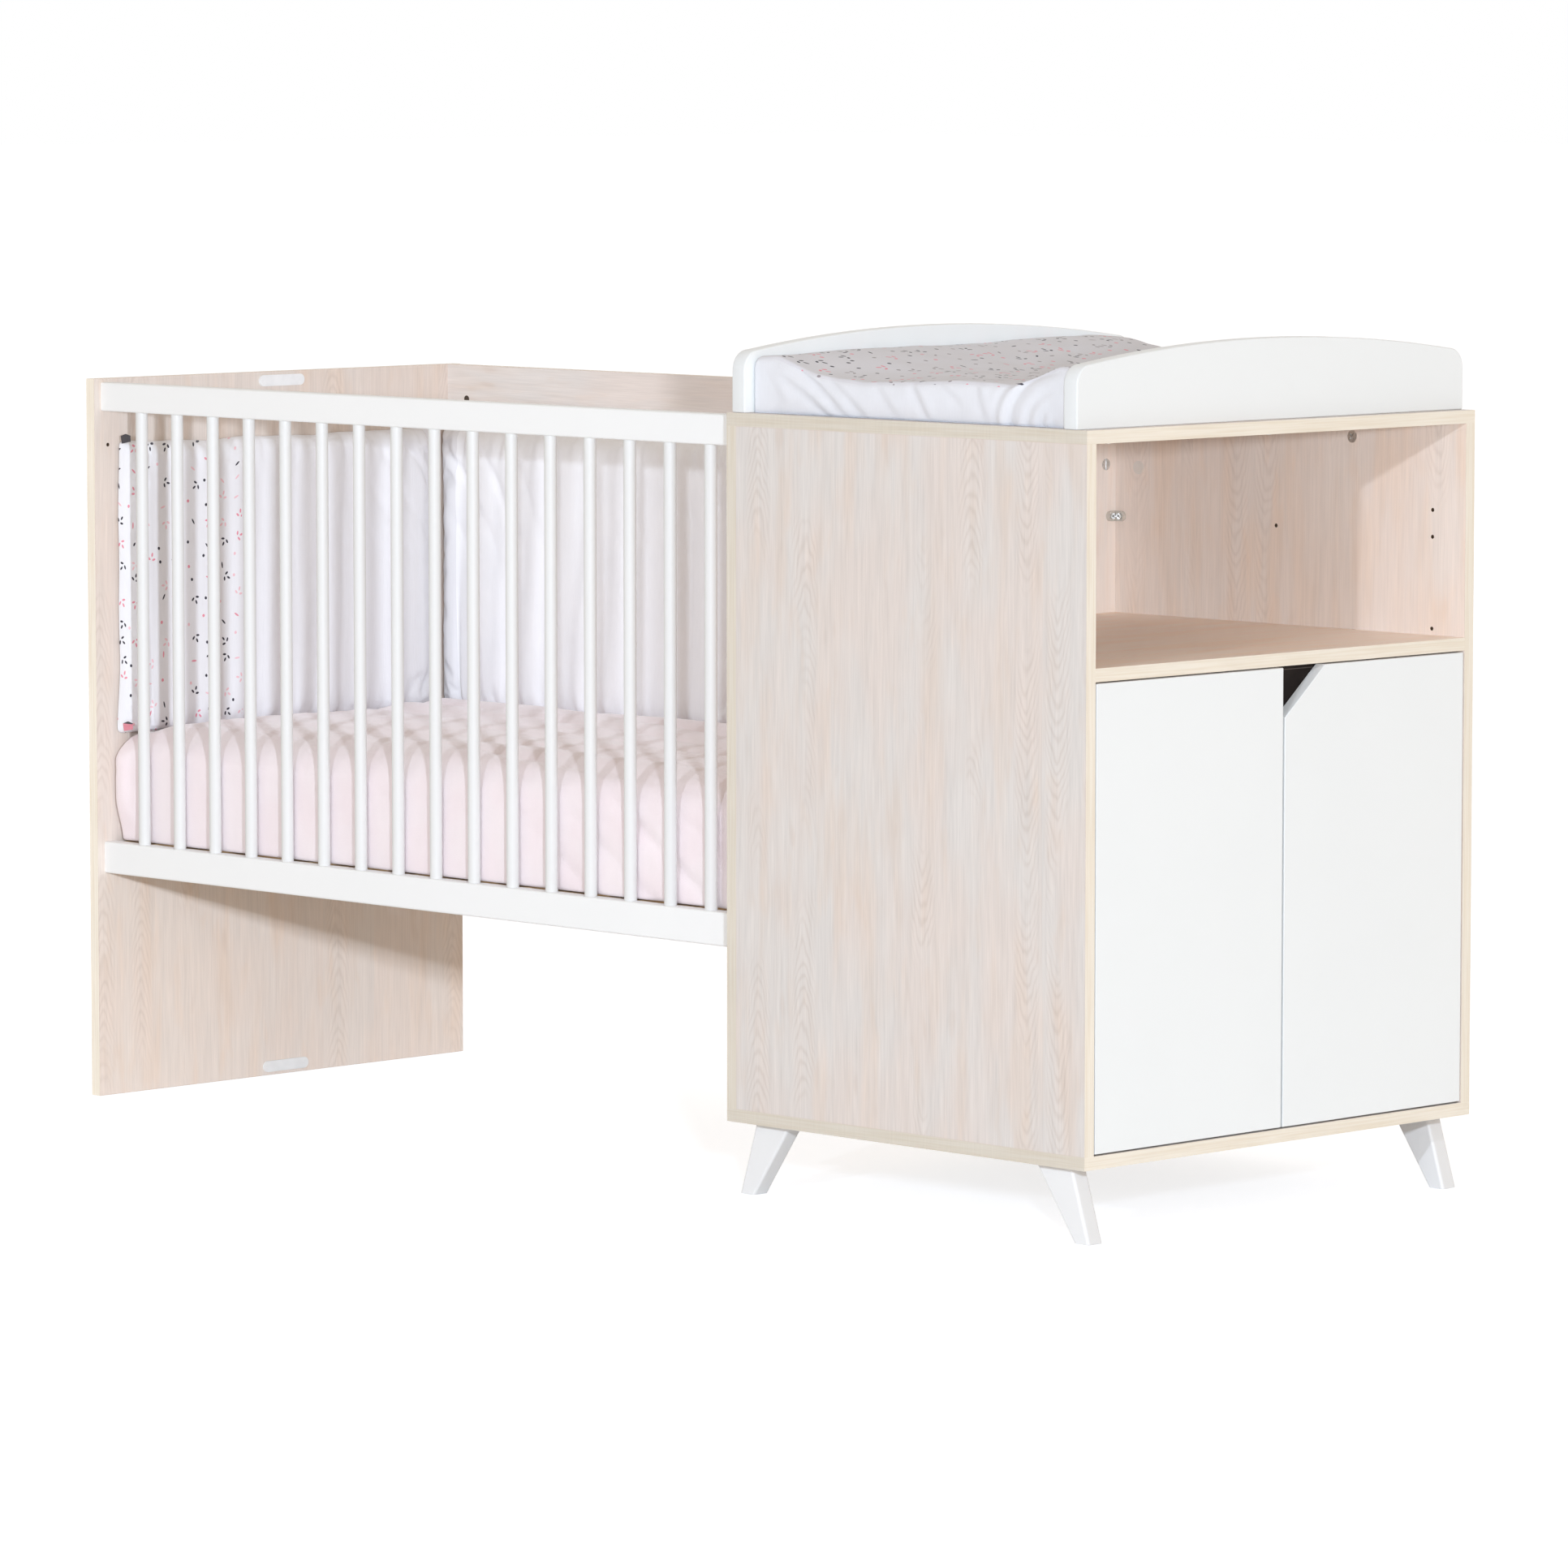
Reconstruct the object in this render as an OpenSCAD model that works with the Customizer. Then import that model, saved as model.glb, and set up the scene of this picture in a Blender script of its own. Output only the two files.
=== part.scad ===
// Cot joined to a changing dresser.
// The long axis is X: the cot's end panel stands at -X and the dresser's doors face +X.
// +Y points to the cot's solid back panel, +Z is up, and the origin is the middle of the footprint.

/* [Boards] */
// Thickness of every laminated board
board_t = 16; // [15:1:18]
// Gap left round each door
door_gap = 2; // [1.5:0.5:3]

/* [Cot] */
// Clear length between the end panel and the dresser
cot_l = 1220; // [1210:2:1240]
// Width of the end panel
cot_w = 656; // [650:2:660]
// Height of the end panel, the back panel and the dresser
cot_h = 958; // [950:2:966]
// Height of the upper front rail
upper_rail_h = 38; // [34:1:44]
// Height of the lower front rail
lower_rail_h = 42; // [38:1:48]
// Underside of the lower front rail and of the back panel
lower_rail_z = 299; // [280:1:310]
// Thickness of both front rails
rail_t = 22; // [20:1:24]
// Diameter of a bar
bar_d = 16; // [14:1:18]
// Number of bars
bar_count = 16; // [14:1:16]
// Distance from bar to bar
bar_pitch = 72; // [68:1:73]

/* [Dresser] */
// Depth from the cot side to the doors
dresser_d = 600; // [590:2:620]
// Width across the doors
dresser_w = 692; // [688:2:700]
// Height of the feet
foot_h = 90; // [85:1:100]
// Underside of the shelf that closes the open niche
shelf_z = 664; // [640:2:700]
// Width of the finger cut in the far door
cut_w = 72; // [60:1:80]
// Height of the finger cut
cut_h = 60; // [50:1:70]

/* [Changer] */
// Thickness of the two white side boards
rim_t = 22; // [20:1:22]
// Length of the side boards
rim_l = 688; // [670:2:688]
// Height of the side boards at their rounded ends
rim_end_h = 76; // [74:1:84]
// How much higher they are in the middle
rim_rise = 22; // [10:1:26]
// Length of the changing pad
pad_l = 634; // [620:2:640]

/* [Bedding] */
// Thickness of the mattress
mattress_h = 120; // [110:2:124]
// Height of the padded bumper
bumper_h = 388; // [360:2:390]

/* [Hidden] */

$fn = 48;
fine = 0.05;
soft_gap = 0.6;

wood = "#e6d6c6";
white = "#f0f3f5";
steel = "#b4b6b8";
slat_wood = "#dcc39a";

// Faces that everything else is placed from
overall_l = board_t + cot_l + dresser_d;
end_out = -overall_l / 2;
end_in = end_out + board_t;
dresser_back_x = end_in + cot_l;
niche_x = dresser_back_x + board_t;
front_x = overall_l / 2;
side_out = dresser_w / 2;
side_in = side_out - board_t;
rail_setback = 12;
rail_drop = 5;
panel_setback = 8;
rail_y = -cot_w / 2 + rail_setback;
rail_mid_y = rail_y + rail_t / 2;
rail_back_y = rail_y + rail_t;
panel_out_y = cot_w / 2 - panel_setback;
panel_in_y = panel_out_y - board_t;
upper_rail_z = cot_h - rail_drop - upper_rail_h;
lower_rail_top = lower_rail_z + lower_rail_h;
top_z = cot_h - board_t;
floor_z = foot_h + board_t;

// ---------- Fasteners shared by several boards ----------

socket_depth = 12;
bolt_d = 6;
bolt_head_d = 14;
bolt_head_h = 3;
nut_d = 10;
nut_l = 12;
nut_inset = 39;
screw_d = 4;
screw_head_d = 8;
screw_head_h = 2.5;
cross_l = 5;
cross_w = 1;
cross_depth = 1.5;
cam_d = 15;
cam_depth = 12.5;
cam_pin_d = 7;
cap_d = 17;
cap_t = 1.5;

// Height of each bolt that ties the rails and the back panel to the two ends
rail_bolt_z = [upper_rail_z + upper_rail_h / 2, lower_rail_z + lower_rail_h / 2];
panel_bolt_z_end = [911, 346];
panel_bolt_z_dresser = [869, 388];
panel_mid_y = (panel_in_y + panel_out_y) / 2;

// Each entry is [y, z] of a bolt
end_bolts = concat(
    [for (z = rail_bolt_z) [rail_mid_y, z]],
    [for (z = panel_bolt_z_end) [panel_mid_y, z]]
);
dresser_bolts = concat(
    [for (z = rail_bolt_z) [rail_mid_y, z]],
    [for (z = panel_bolt_z_dresser) [panel_mid_y, z]]
);

// One bolt with its flush slotted head at the origin, pointing along +X
module bolt(grow = 0) {
    bolt_l = board_t + nut_inset + nut_d / 2;
    rotate([0, 90, 0])
        cylinder(d = bolt_head_d + 2 * grow, h = bolt_head_h);
    rotate([0, 90, 0])
        cylinder(d = bolt_d + 2 * grow, h = bolt_l + 4 * grow);
}

module slotted_bolt() {
    slot_w = 1.8;
    slot_depth = 1.2;
    difference() {
        bolt();
        translate([-fine, -slot_w / 2, -bolt_head_d])
            cube([slot_depth + fine, slot_w, 2 * bolt_head_d]);
    }
}

module at_end_bolts() {
    for (p = end_bolts)
        translate([end_out, p[0], p[1]])
            children();
}

module at_dresser_bolts() {
    for (p = dresser_bolts)
        translate([niche_x, p[0], p[1]])
            mirror([1, 0, 0])
                children();
}

module bolt_holes() {
    at_end_bolts() bolt(0.2);
    at_dresser_bolts() bolt(0.2);
}

// A cross-drilled nut lies along Y and opens on the inner face of the rail or panel it sits in
module nut_body(p, grow) {
    in_rail = p[0] < 0;
    mouth = in_rail ? rail_back_y : panel_in_y;
    start = in_rail ? mouth - nut_l : mouth;
    translate([0, start, p[1]])
        rotate([-90, 0, 0])
            cylinder(d = nut_d + 2 * grow, h = nut_l);
}

module nuts(grow = 0) {
    for (p = end_bolts)
        translate([end_in + nut_inset, 0, 0])
            nut_body(p, grow);
    for (p = dresser_bolts)
        translate([dresser_back_x - nut_inset, 0, 0])
            nut_body(p, grow);
}

// Screw with its head's underside at the origin, pointing down. With grow it is the hole for that screw
module screw(l, grow = 0) {
    difference() {
        union() {
            cylinder(d = screw_head_d + 2 * grow, h = screw_head_h);
            translate([0, 0, -l])
                cylinder(d = screw_d + 2 * grow, h = l + fine);
        }
        if (grow == 0)
            for (a = [45, 135])
                rotate([0, 0, a])
                    translate([-cross_l / 2, -cross_w / 2, screw_head_h - cross_depth])
                        cube([cross_l, cross_w, cross_depth + fine]);
    }
}

// Feet lean outward along X and stand in from the dresser's edges
foot_top_w = 58;
foot_bottom_w = 24;
foot_t = 25;
foot_inset_y = 15;
foot_top_inset = 35;
foot_bottom_inset = 7;
foot_y = side_out - foot_inset_y - foot_t / 2;
foot_screw_l = board_t + 20;
foot_screw_apart = 24;
dresser_mid_x = (dresser_back_x + front_x) / 2;

module foot_screws(grow = 0) {
    half = foot_screw_apart / 2;
    for (side = [-1, 1], end = [0, 1], dx = [-half, half])
        translate([dresser_mid_x, side * foot_y, floor_z])
            mirror([end, 0, 0])
                translate([dresser_d / 2 - foot_top_inset - foot_top_w / 2 + dx, 0, 0])
                    screw(foot_screw_l, grow);
}

// The two white side boards of the changer
rim_front_setback = 18;
rim_back_setback = 7;
rim_front_x = front_x - rim_front_setback - rim_t;
rim_back_x = dresser_back_x + rim_back_setback;
rim_screw_l = board_t + 40;
rim_screw_inset = 6;
rim_screw_y = [-280, 0, 280];

module rim_screws(grow = 0) {
    for (x = [rim_back_x + rim_t - rim_screw_inset, rim_front_x + rim_t / 2], y = rim_screw_y)
        translate([x, y, top_z])
            rotate([180, 0, 0])
                screw(rim_screw_l, grow);
}

// Door hinges
hinge_z = [190, 580];
cup_d = 35;
cup_depth = 11;
cup_inset = 22.5;
arm_plate_t = 3;
arm_plate_l = 50;
arm_plate_h = 32;
arm_plate_x = 838;
arm_screw_l = 10;
arm_screw_inset = 8;
arm_screw_apart = 22;
cup_flange_t = 1.2;
cup_screw_pitch = 46;
cup_screw_l = 9;

module arm_screws(grow = 0) {
    half = arm_screw_apart / 2;
    for (side = [-1, 1], z = hinge_z, dz = [-half, half])
        translate([arm_plate_x + arm_screw_inset, side * (side_in - arm_plate_t), z + dz])
            rotate([side * 90, 0, 0])
                screw(arm_screw_l + arm_plate_t, grow);
}

// Corner brackets tie the cot-side board to the dresser's sides
bracket_leg = 18;
bracket_t = 4;
bracket_h = 13;
bracket_z = [300, 803];
bracket_screw_l = 12;

module bracket_screws(grow = 0) {
    mid = bracket_leg / 2 + bracket_t / 2;
    for (side = [-1, 1], z = bracket_z) {
        translate([niche_x + mid, side * (side_in - bracket_t), z])
            rotate([side * 90, 0, 0])
                screw(bracket_screw_l + bracket_t, grow);
        translate([niche_x + bracket_t, side * (side_in - mid), z])
            rotate([0, 90, 0])
                screw(bracket_screw_l + bracket_t, grow);
    }
}

// Cleats carry the slats and are screwed to the lower rail and the back panel
cleat_t = 18;
cleat_h = 25;
cleat_rise = 6;
cleat_z = lower_rail_z + cleat_rise;
cleat_screw_l = cleat_t + 10;
cleat_screw_x = [-840, -500, -84, 256];

module cleat_screws(grow = 0) {
    for (x = cleat_screw_x) {
        translate([x, rail_back_y + cleat_t, cleat_z + cleat_h / 2])
            rotate([-90, 0, 0])
                screw(cleat_screw_l, grow);
        translate([x, panel_in_y - cleat_t, cleat_z + cleat_h / 2])
            rotate([90, 0, 0])
                screw(cleat_screw_l, grow);
    }
}

module all_screws(grow = 0) {
    foot_screws(grow);
    rim_screws(grow);
    arm_screws(grow);
    bracket_screws(grow);
    cleat_screws(grow);
}

// Cams sit in the inner faces of the sides. Each entry is [x, z, pin direction in x, pin direction in z]
cam_inset = 23;
cam_back_inset = 40;
cam_top_z = top_z - cam_inset;
cam_bottom_z = floor_z + cam_inset;
cam_back_x = niche_x + cam_back_inset;
cams = [
    [440, cam_top_z, 0, 1],
    [733, cam_top_z, 0, 1],
    [440, cam_bottom_z, 0, -1],
    [733, cam_bottom_z, 0, -1],
    [cam_back_x, 866, -1, 0],
    [cam_back_x, 210, -1, 0]
];
capped_cams = [cams[4], cams[5]];
side_mid = side_in + board_t / 2;

module at_cams(list) {
    for (side = [0, 1], c = list)
        mirror([0, side, 0])
            translate([c[0], side_in, c[1]])
                children();
}

module cam_pockets() {
    at_cams(cams)
        rotate([-90, 0, 0])
            cylinder(d = cam_d + 0.2, h = cam_depth + 0.2);
}

module pins(grow = 0) {
    pin_bite = 12;
    cam_clear = 0.3;
    for (side = [0, 1], c = cams) {
        edge = c[2] == 0 ? cam_inset : cam_back_inset;
        l = edge - cam_d / 2 + pin_bite - cam_clear;
        mirror([0, side, 0])
            translate([c[0], side_mid, c[1]])
                rotate([0, c[2] == 0 ? (c[3] > 0 ? 0 : 180) : -90, 0])
                    translate([0, 0, cam_d / 2 + cam_clear])
                        cylinder(d = cam_pin_d + 2 * grow, h = l + 4 * grow);
    }
}

// ---------- Cot frame ----------

cover_l = 80;
cover_h = 15;
cover_t = 2.5;
cover_inset_top = 12;
cover_inset_bottom = 12;
slot_l = 66;
slot_h = 9;
slot_depth = 8;
pilot_d = 5;
pilot_depth = 10;
pilot_z = 870;

// A bar with round ends, lying along Y and pushed out along X
module stadium(l, h, t) {
    rotate([90, 0, 90])
        linear_extrude(t) {
            square([l - h, h], center = true);
            for (s = [-1, 1])
                translate([s * (l - h) / 2, 0])
                    circle(d = h);
        }
}

module at_covers() {
    for (z = [cot_h - cover_inset_top, cover_inset_bottom])
        translate([end_in, 0, z])
            children();
}

module end_panel() {
    color(wood)
        difference() {
            translate([end_out, -cot_w / 2, 0])
                cube([board_t, cot_w, cot_h]);
            at_covers()
                translate([-slot_depth, 0, 0])
                    stadium(slot_l, slot_h, slot_depth + fine);
            bolt_holes();
            translate([end_in - pilot_depth, rail_mid_y, pilot_z])
                rotate([0, 90, 0])
                    cylinder(d = pilot_d, h = pilot_depth + fine);
        }
}

module slot_covers() {
    color(white)
        at_covers() {
            stadium(cover_l, cover_h, cover_t);
            translate([-slot_depth + 2, 0, 0])
                stadium(slot_l - 0.6, slot_h - 0.6, slot_depth);
        }
}

function bar_x(i) = end_in + cot_l / 2 + (i - (bar_count + 1) / 2) * bar_pitch;

module bar_shape(i, grow = 0) {
    translate([bar_x(i), rail_mid_y, lower_rail_top - socket_depth])
        cylinder(d = bar_d + 2 * grow, h = upper_rail_z - lower_rail_top + 2 * socket_depth);
}

// Rounded along its four long edges
module rail_body(h) {
    r = 3;
    rotate([90, 0, 90])
        linear_extrude(cot_l) {
            translate([0, r])
                square([rail_t, h - 2 * r]);
            translate([r, 0])
                square([rail_t - 2 * r, h]);
            for (y = [r, rail_t - r], z = [r, h - r])
                translate([y, z])
                    circle(r = r);
        }
}

module rail(z, h) {
    color(white)
        difference() {
            translate([end_in, rail_y, z])
                rail_body(h);
            for (i = [1:bar_count])
                bar_shape(i, 0.1);
            bolt_holes();
            nuts(0.1);
            cleat_screws(fine);
        }
}

module front_upper_rail() {
    rail(upper_rail_z, upper_rail_h);
}

module front_lower_rail() {
    rail(lower_rail_z, lower_rail_h);
}

module bar(i) {
    color(white)
        bar_shape(i);
}

module back_panel() {
    color(wood)
        difference() {
            translate([end_in, panel_in_y, lower_rail_z])
                cube([cot_l, board_t, cot_h - lower_rail_z]);
            bolt_holes();
            nuts(0.1);
            cleat_screws(fine);
        }
}

module bed_bolts() {
    color(steel) {
        at_end_bolts() slotted_bolt();
        at_dresser_bolts() slotted_bolt();
    }
}

module barrel_nuts() {
    color(steel)
        difference() {
            nuts();
            bolt_holes();
        }
}

// ---------- Mattress base ----------

slat_w = 60;
slat_t = 10;
slat_count = 12;
slat_z = cleat_z + cleat_h;
slat_top = slat_z + slat_t;
slat_pitch = 104;

module cleat(y) {
    color(slat_wood)
        difference() {
            translate([end_in, y, cleat_z])
                cube([cot_l, cleat_t, cleat_h]);
            cleat_screws(fine);
        }
}

module front_cleat() {
    cleat(rail_back_y);
}

module back_cleat() {
    cleat(panel_in_y - cleat_t);
}

module base_slats() {
    slat_clear = 2;
    color(slat_wood)
        for (i = [0:slat_count - 1])
            translate([
                end_in + cot_l / 2 + (i - (slat_count - 1) / 2) * slat_pitch - slat_w / 2,
                rail_back_y + slat_clear,
                slat_z
            ])
                cube([slat_w, panel_in_y - rail_back_y - 2 * slat_clear, slat_t]);
}

// ---------- Soft forms ----------

// A closed solid through a list of rings that all have the same number of points
module skin(rings) {
    n = len(rings[0]);
    last = len(rings) - 1;
    sides = [
        for (i = [0:last - 1], j = [0:n - 1])
            let (a = i * n + j, b = i * n + (j + 1) % n)
                each [[a, b, b + n], [a, b + n, a + n]]
    ];
    first_cap = [[for (j = [n - 1:-1:0]) j]];
    last_cap = [[for (j = [0:n - 1]) last * n + j]];
    polyhedron(points = [for (r = rings) each r], faces = concat(sides, first_cap, last_cap));
}

function ease(t) = let (c = min(1, max(0, t))) c * c * (3 - 2 * c);

// The mattress is a little shorter than the cot, and the quilt hangs between it and the bars
mattress_end_gap = 10;
mattress_y0 = rail_back_y + 15;
mattress_y1 = panel_in_y - 3;
mattress_x0 = end_in + mattress_end_gap;
mattress_x1 = dresser_back_x - mattress_end_gap;
mattress_top = slat_top + mattress_h;

module mattress() {
    r = 18;
    color("#f4f2ee")
        translate([0, 0, slat_top])
            linear_extrude(mattress_h) {
                translate([mattress_x0 + r, mattress_y0])
                    square([mattress_x1 - mattress_x0 - 2 * r, mattress_y1 - mattress_y0]);
                translate([mattress_x0, mattress_y0 + r])
                    square([mattress_x1 - mattress_x0, mattress_y1 - mattress_y0 - 2 * r]);
                for (x = [mattress_x0 + r, mattress_x1 - r], y = [mattress_y0 + r, mattress_y1 - r])
                    translate([x, y])
                        circle(r = r);
            }
}

// The quilt lies over the mattress and hangs down behind the bars
bumper_t = 30;
quilt_gap = 1.5;
quilt_t = 24;
quilt_x0 = end_in + quilt_gap;
quilt_x1 = dresser_back_x - quilt_gap;
quilt_y0 = rail_mid_y + bar_d / 2 + quilt_gap;
quilt_y1 = panel_in_y - 2;
quilt_hem = lower_rail_top + 3;
quilt_side_top = mattress_top + quilt_t;
quilt_crown = 14;
quilt_edge_r = 34;
quilt_rise_l = 70;
quilt_flat = bumper_t + 4;

function quilt_wave(x, y) =
    1.6 * sin(x * 2.1 + y * 0.7) + 1.1 * sin(y * 3.3 - x * 0.9);

// Height of the quilt's top: crowned, and pressed flat under the bumper at the end and the back
function quilt_top(x, y) =
    let (from_end = ease((x - quilt_x0 - quilt_flat) / quilt_rise_l))
        let (from_back = ease((quilt_y1 - quilt_flat - y) / quilt_rise_l))
            quilt_side_top + (quilt_crown + quilt_wave(x, y)) * from_end * from_back;

function quilt_ring(x) =
    let (
        top_y0 = quilt_y0 + quilt_edge_r,
        top_n = 11,
        step = (quilt_y1 - top_y0) / top_n,
        edge_top = quilt_top(x, top_y0)
    )
        concat(
            [for (z = [quilt_hem, 390, 430]) [x, quilt_y0 + (z < 400 ? 0.8 * sin(x * 5) + 0.8 : 0), z]],
            [
                for (a = [180:-18:108])
                    [x, top_y0 + quilt_edge_r * cos(a), edge_top - quilt_edge_r * (1 - sin(a))]
            ],
            [for (i = [0:top_n]) [x, top_y0 + i * step, quilt_top(x, top_y0 + i * step)]],
            [
                [x, quilt_y1, mattress_top + soft_gap],
                [x, mattress_y0 - soft_gap, mattress_top + soft_gap],
                [x, mattress_y0 - soft_gap, quilt_hem]
            ]
        );

module quilt() {
    rings = 32;
    color("#f5e2e2")
        skin([for (i = [0:rings]) quilt_ring(quilt_x0 + (quilt_x1 - quilt_x0) * i / rings)]);
}

// A bumper cushion stands on the quilt. u runs along it, t is its thickness away from the panel
bumper_z = quilt_side_top + 2.5;
bumper_top = bumper_z + bumper_h;
bumper_gap = 1;
bumper_front_y = rail_back_y + 3;
bumper_back_y = panel_in_y - bumper_gap;
bumper_corner_y = bumper_back_y - bumper_t - 1;
bumper_x = end_in + bumper_gap;
bumper_end_x = dresser_back_x - 4;
bumper_mid_x = (bumper_x + bumper_end_x) / 2;

function bumper_fold(u) = 2.2 * sin(u * 7.3) + 1.4 * sin(u * 12.1 + 40) - 2;

// How full the cushion is along its length: drawn in at both sewn ends
function bumper_fill(u, l) = 0.35 + 0.65 * ease(min(u, l - u) / 30);

// Points of one cross-section as [t, z]
function bumper_section(u, l) =
    let (
        full = (bumper_t - 3.6 + bumper_fold(u)) * bumper_fill(u, l),
        top = bumper_top - 3 * (1 + sin(u * 2.6)) - 2 * (1 - bumper_fill(u, l)),
        n = 8
    )
        concat(
            [
                for (i = [0:n])
                    let (s = i / n)
                        [2 + (full - 2) * pow(sin(180 * s), 0.35), bumper_z + (top - bumper_z) * s]
            ],
            [for (s = [0.94, 0.06]) [0, bumper_z + (top - bumper_z) * s]]
        );

module bumper_run(l) {
    rings = 30;
    skin([
        for (i = [0:rings])
            let (u = l * i / rings)
                [for (p = bumper_section(u, l)) [u, -p[0], p[1]]]
    ]);
}

module bumper_end() {
    color("#f3f1f6")
        translate([bumper_x, bumper_front_y, 0])
            rotate([0, 0, 90])
                bumper_run(bumper_corner_y - bumper_front_y);
}

module bumper_back_left() {
    color("#f3f1f6")
        translate([bumper_x, bumper_back_y, 0])
            bumper_run(bumper_mid_x - 0.5 - bumper_x);
}

module bumper_back_right() {
    color("#f3f1f6")
        translate([bumper_mid_x + 0.5, bumper_back_y, 0])
            bumper_run(bumper_end_x - bumper_mid_x - 0.5);
}

// Short folded ribbon ends at the bumper's free corners. The upper ones stand up past its top edge
tab_l = 16;
tab_t = 2;
tab_gap = 0.5;
tab_low_z = bumper_z + 8;
tab_high_z = bumper_top + 3;

module tab() {
    rotate([90, 0, 0])
        linear_extrude(tab_t)
            polygon([[-tab_l / 2, -3], [tab_l / 2, -6], [tab_l / 2 + 2, 4], [1, 7], [-tab_l / 2, 5]]);
}

module tie_tabs() {
    color("#4a4a52")
        for (z = [tab_low_z, tab_high_z]) {
            translate([bumper_x + bumper_t - tab_l / 2, bumper_front_y - tab_gap, z])
                mirror([1, 0, 0])
                    tab();
            translate([bumper_end_x + tab_gap, bumper_back_y - bumper_t / 2, z])
                rotate([0, 0, 90])
                    tab();
        }
}

// ---------- Dresser carcass ----------

shelf_pin_d = 5;
shelf_pin_l = 16;
shelf_pin_x = [384, 860];
shelf_pin_z = 375;
shelf_hole_step = 32;
// Each entry is [x, z] of an unused drilling in the sides
spare_holes = [[608, 803], [865, 801], [865, 834], [865, 688]];

module side_drilling() {
    for (p = spare_holes)
        translate([p[0], side_in - fine, p[1]])
            rotate([-90, 0, 0])
                cylinder(d = pilot_d, h = pilot_depth);
    for (x = shelf_pin_x, k = [-1, 0, 1])
        translate([x, side_in - fine, shelf_pin_z + k * shelf_hole_step])
            rotate([-90, 0, 0])
                cylinder(d = shelf_pin_d + 0.2, h = pilot_depth);
}

module side_board(mirrored) {
    color(wood)
        difference() {
            mirror([0, mirrored, 0])
                difference() {
                    translate([niche_x, side_in, floor_z])
                        cube([front_x - niche_x, board_t, top_z - floor_z]);
                    side_drilling();
                }
            cam_pockets();
            pins(0.2);
            arm_screws(fine);
            bracket_screws(fine);
        }
}

module near_side() {
    side_board(1);
}

module far_side() {
    side_board(0);
}

module flat_board(z) {
    color(wood)
        difference() {
            translate([dresser_back_x, -side_out, z])
                cube([dresser_d, dresser_w, board_t]);
            pins(0.2);
            all_screws(fine);
        }
}

module dresser_top() {
    flat_board(top_z);
}

module dresser_bottom() {
    flat_board(foot_h);
}

module dresser_back() {
    color(wood)
        difference() {
            translate([dresser_back_x, -side_out, floor_z])
                cube([board_t, dresser_w, top_z - floor_z]);
            bolt_holes();
            pins(0.2);
            bracket_screws(fine);
        }
}

module middle_shelf() {
    color(wood)
        translate([niche_x, -side_in, shelf_z])
            cube([front_x - niche_x, 2 * side_in, board_t]);
}

module inner_shelf() {
    shelf_setback = 34;
    color(wood)
        translate([niche_x + 2, -side_in + 1.5, shelf_pin_z + shelf_pin_d / 2])
            cube([front_x - niche_x - 2 - shelf_setback, 2 * side_in - 3, board_t]);
}

module shelf_pins() {
    color(steel)
        for (side = [-1, 1], x = shelf_pin_x)
            translate([x, side * side_in, shelf_pin_z])
                rotate([90, 0, 0])
                    cylinder(d = shelf_pin_d, h = shelf_pin_l, center = true);
}

module cam_locks() {
    cam_cross_l = 9;
    cam_cross_w = 2;
    color(steel)
        at_cams(cams)
            difference() {
                rotate([-90, 0, 0])
                    cylinder(d = cam_d, h = cam_depth);
                for (a = [45, 135])
                    rotate([0, a, 0])
                        translate([-cam_cross_l / 2, -fine, -cam_cross_w / 2])
                            cube([cam_cross_l, cross_depth + fine, cam_cross_w]);
            }
}

module cam_pins() {
    color(steel)
        pins();
}

module cover_caps() {
    color("#e4dccf")
        at_cams(capped_cams)
            rotate([90, 0, 0])
                cylinder(d = cap_d, h = cap_t);
}

// One leg of a bracket: a plate along +X with a round free end
module bracket_plate() {
    straight = bracket_leg - bracket_h / 2;
    translate([0, 0, -bracket_h / 2])
        cube([straight, bracket_t, bracket_h]);
    translate([straight, 0, 0])
        rotate([-90, 0, 0])
            cylinder(d = bracket_h, h = bracket_t);
}

module corner_brackets() {
    color("#d8d8d4")
        difference() {
            for (side = [0, 1], z = bracket_z)
                translate([niche_x, 0, z])
                    mirror([0, side, 0])
                        translate([0, -side_in, 0]) {
                            bracket_plate();
                            mirror([1, -1, 0])
                                bracket_plate();
                        }
            bracket_screws(fine);
        }
}

module wood_screws() {
    color(steel)
        all_screws();
}

// ---------- Feet ----------

foot_edge_r = 4;

// A thin slab with round corners, from x0 to x1
module foot_slab(x0, x1) {
    for (x = [x0 + foot_edge_r, x1 - foot_edge_r], y = [-1, 1])
        translate([x, y * (foot_t / 2 - foot_edge_r), 0])
            cylinder(r = foot_edge_r, h = 0.5, $fn = 24);
}

module foot(side, end) {
    top_out = dresser_d / 2 - foot_top_inset;
    bottom_out = dresser_d / 2 - foot_bottom_inset;
    color(white)
        difference() {
            translate([dresser_mid_x, side * foot_y, 0])
                mirror([end, 0, 0])
                    hull() {
                        foot_slab(bottom_out - foot_bottom_w, bottom_out);
                        translate([0, 0, foot_h - 0.5])
                            foot_slab(top_out - foot_top_w, top_out);
                    }
            foot_screws(fine);
        }
}

module foot_front_near() {
    foot(-1, 0);
}

module foot_front_far() {
    foot(1, 0);
}

module foot_back_near() {
    foot(-1, 1);
}

module foot_back_far() {
    foot(1, 1);
}

// ---------- Doors ----------

door_z0 = floor_z + door_gap;
door_z1 = shelf_z - door_gap;
door_hinge_y = side_in - door_gap;
door_free_y = door_gap * 0.75;
cup_y = door_hinge_y - cup_inset;
door_in_x = front_x - board_t;

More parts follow.
